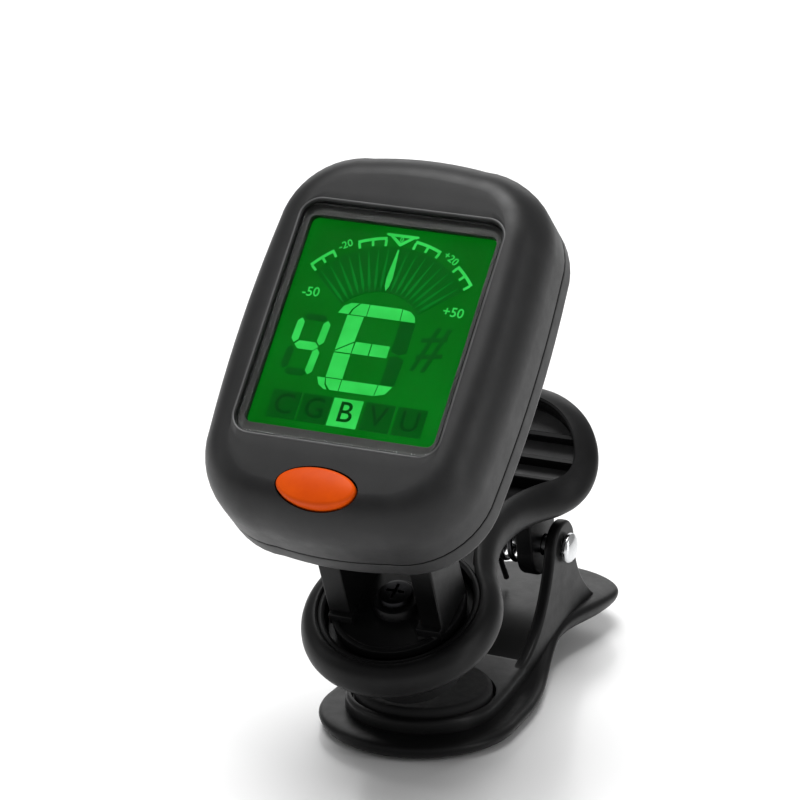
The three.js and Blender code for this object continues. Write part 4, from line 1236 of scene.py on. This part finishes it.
def make_lower_jaw():
    section = [(2.9, -1), (2.1, -0.97), (1.45, -0.88), (0.95, -0.72), (0.55, -0.5), (0.25, -0.22)]
    section += [(0.07, 0.08), (0.0, 0.3), (0.02, 0.46), (0.12, 0.6), (0.34, 0.76), (0.75, 0.9)]
    section += [(1.4, 0.98), (2.4, 1.0)]
    jaw = plank("clamp_lower_jaw", base_outline(), section, on_base, columns=10)

    low, top = 1.6, 4.5
    section = [(0.6, low), (0.0, low), (0.0, top - 0.75), (0.1, top - 0.42), (0.32, top - 0.14)]
    section += [(0.65, top), (1.2, top)]
    platform = plank("platform", platform_outline(), section, lambda x, y, z: (x, y, z))

    eye = 3.9
    side_view = [(18.0, 1.6)] + bezier((18.0, 1.6), (18.2, 3.4), (18.6, 4.35), (20.0, 4.42), 4)
    side_view += bezier((20.0, 4.42), (26.0, 4.7), (30.6, 10.2), (pivot.y - eye, pivot.z), 20)
    side_view += arc(pivot.y, pivot.z, eye, 175, 0, 30)
    side_view += bezier((pivot.y + eye, pivot.z), (40.4, 13.0), (43.0, 9.6), (49.0, 5.4), 14)
    side_view += [(46.0, 4.4), (32.0, 4.0), (26.0, 1.2)]
    walls = [prism("wall", side_view, x, x + WALL_OUTER - WALL_INNER, along="x", soften=0.5, segments=3)
             for x in (-WALL_OUTER, WALL_INNER)]
    join(jaw, platform, *walls)
    seat_profile = [(0, 3.4), (9.7, 3.4), (9.8, 3.5), (9.8, 4.2), (10.0, 4.45), (10.0, 8), (0, 8)]
    seat = lathe("seat", seat_profile, Matrix.Translation((0, PAD_Y, 0)))
    bore = disc("bore", PIN_BORE, -15, 15, PIVOT_PLACE, 48)
    cut(jaw, seat, bore)
    finish_piece(jaw, "clamp_base", "jaw_black", "lower_jaw")


def make_pin():
    """A pin with a domed head outside the right-hand wall."""
    head, end = WALL_OUTER + GAP, -WALL_OUTER - 1.2
    profile = [(0, end), (1.1, end), (1.3, -WALL_OUTER - 1.0), (1.3, head), (2.05, head)]
    profile += [(2.2, head + 0.15), (2.2, head + 0.45)]
    steps = 8
    for step in range(1, steps + 1):
        angle = pi / 2 * step / steps
        profile.append((2.2 * cos(angle), head + 0.45 + 0.95 * sin(angle)))
    pin = lathe("pivot_pin_turned", profile, PIVOT_PLACE, 64)
    finish_piece(pin, "clamp_base", "chrome", "pivot_pin")


def make_clip():
    """A ring with an open mouth, on the pin's other end."""
    outside = -WALL_OUTER - GAP
    profile = [(1.55, outside - 0.5), (2.2, outside - 0.5), (2.3, outside - 0.4), (2.3, outside - 0.1)]
    clip = ring_of("pin_clip_ring", profile + [(2.2, outside), (1.55, outside)], PIVOT_PLACE, 48)
    at_pivot = Matrix.Translation((0, pivot.y, pivot.z))
    cut(clip, prism("mouth", box_outline(-0.9, 0.9, -4, 0), outside - 1, outside + 1, at_pivot, along="x"))
    finish_piece(clip, "clamp_base", "steel", "pin_clip")


def make_spring():
    coil, half, wire = 2.7, 3.0, 0.42
    first, last = radians(122), radians(4 * 360 + 61)

    def coil_point(share):
        angle = first + share * (last - first)
        across = -half + 2 * half * share
        return Vector((across, pivot.y + coil * sin(angle), pivot.z - coil * cos(angle)))

    lower_end = Vector((-half, 45.2, 7.4))
    upper_end = Vector((half, 44.0, 26.0))
    leg_steps, coil_steps, round_steps = 10, 190, 14
    line = [lower_end.lerp(coil_point(0), i / leg_steps) for i in range(leg_steps)]
    line += [coil_point(i / coil_steps) for i in range(coil_steps + 1)]
    line += [coil_point(1).lerp(upper_end, i / leg_steps) for i in range(1, leg_steps + 1)]
    rings = []
    for i, point in enumerate(line):
        along = (line[min(i + 1, len(line) - 1)] - line[max(i - 1, 0)]).normalized()
        side = along.cross(RIGHT).normalized()
        other = along.cross(side)
        turn = circle_angles(round_steps)
        rings.append([tuple(point + side * wire * cos(a) + other * wire * sin(a)) for a in turn])
    spring = loft("torsion_spring_wire", rings)
    finish_spring(spring)


def finish_spring(spring):
    """Gives the spring its look and smooth shading, bakes its place into the mesh and hides the CAD spring.
    """
    mesh = spring.data
    mesh.materials.append(looks["spring_steel"])
    mesh.polygons.foreach_set("use_smooth", [True] * len(mesh.polygons))
    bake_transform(spring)
    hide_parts("torsion_spring")


# ---- CAD nodes that stay

# Looks of the CAD nodes that no finer piece replaces
CAD_LOOKS = {
    "screen_green": ("lcd_panel",),
    "light_guide": ("lcd_backlight", "backlight_led_left", "backlight_led_right"),
    "connector_grey": ("lcd_connector",),
    "board_green": ("circuit_board",),
    "chip_black": ("tuner_chip",),
    "brass": ("piezo_sensor",),
    "steel": (
        "tact_switch", "battery_cell", "battery_contact_negative", "battery_contact_positive",
        "hinge_nut", "swivel_washer",
    ),
}


def repaint_cad():
    for look, nodes in CAD_LOOKS.items():
        for node in nodes:
            for slot in frame["nodes"][node].material_slots:
                slot.material = looks[look]


# ---- scene

def make_stage():
    half = 3.0 / MM
    corners = [(-half, -half, 0), (half, -half, 0), (half, half, 0), (-half, half, 0)]
    floor = new_object("floor", corners, [(0, 1, 2, 3)])
    floor.location.z = cad_low.z - 0.0002
    material, shader, place = start_material("pale_floor")
    tint = tinted(noise(place, 3), (0.90, 0.90, 0.90), (0.93, 0.93, 0.93))
    link_inputs(shader, {"Base Color": tint})
    set_inputs(shader, {"Roughness": 0.22})
    floor.data.materials.append(material)


def area_light(name, place, aim, size, power, size_y=None):
    lamp = bpy.data.lights.new(name, "AREA")
    lamp.energy = power
    lamp.size = size
    if size_y:
        lamp.shape = "RECTANGLE"
        lamp.size_y = size_y
    made = add_object(name, lamp)
    made.location = place
    made.rotation_euler = (Vector(aim) - Vector(place)).to_track_quat("-Z", "Y").to_euler()


def make_lights():
    middle = (0, 0.01, 0.045)
    area_light("top_softbox", (-0.3, 0.1, 3.0), middle, 2.0, 100.0)
    area_light("right_softbox", (0.62, -0.02, 0.24), middle, 0.14, 0.8, 0.5)
    area_light("left_softbox", (-0.55, -0.20, 0.30), middle, 0.12, 0.2, 0.4)
    area_light("back_softbox", (-0.50, 1.10, 0.50), middle, 1.2, 3.0, 0.7)
    world = bpy.data.worlds.new("studio")
    world.use_nodes = True
    set_inputs(world.node_tree.nodes["Background"], {"Color": (1, 1, 1, 1), "Strength": 0.30})
    bpy.context.scene.world = world


CAMERA_AZIMUTH = radians(24)
CAMERA_ELEVATION = radians(19)
CAMERA_DISTANCE = 0.56
CAMERA_LENS = 191.1


def make_camera():
    """A long lens aimed just above the middle of the tuner."""
    aim = Vector((0, 0.00065, 0.0489))
    away = Vector((
        sin(CAMERA_AZIMUTH) * cos(CAMERA_ELEVATION),
        -cos(CAMERA_AZIMUTH) * cos(CAMERA_ELEVATION),
        sin(CAMERA_ELEVATION),
    ))
    data = bpy.data.cameras.new("camera")
    data.lens = CAMERA_LENS
    data.sensor_width = 36
    data.clip_start = 0.01
    camera = add_object("camera", data)
    camera.location = aim + away * CAMERA_DISTANCE
    camera.rotation_euler = (-away).to_track_quat("-Z", "Y").to_euler()
    bpy.context.scene.camera = camera


make_camera()
make_stage()
make_lights()
bpy.context.scene.view_settings.view_transform = "Standard"

make_front_shell()
make_window_parts()
make_button()
make_back_shell()
make_door()
make_dial()
make_note()
make_digit()
make_mode_row()
make_neck()
make_swivel_screw()
make_case_screws()
make_hinge_screw()
make_upper_jaw()
make_lower_pad()
make_upper_pad()
make_lower_jaw()
make_pin()
make_clip()
make_spring()
repaint_cad()
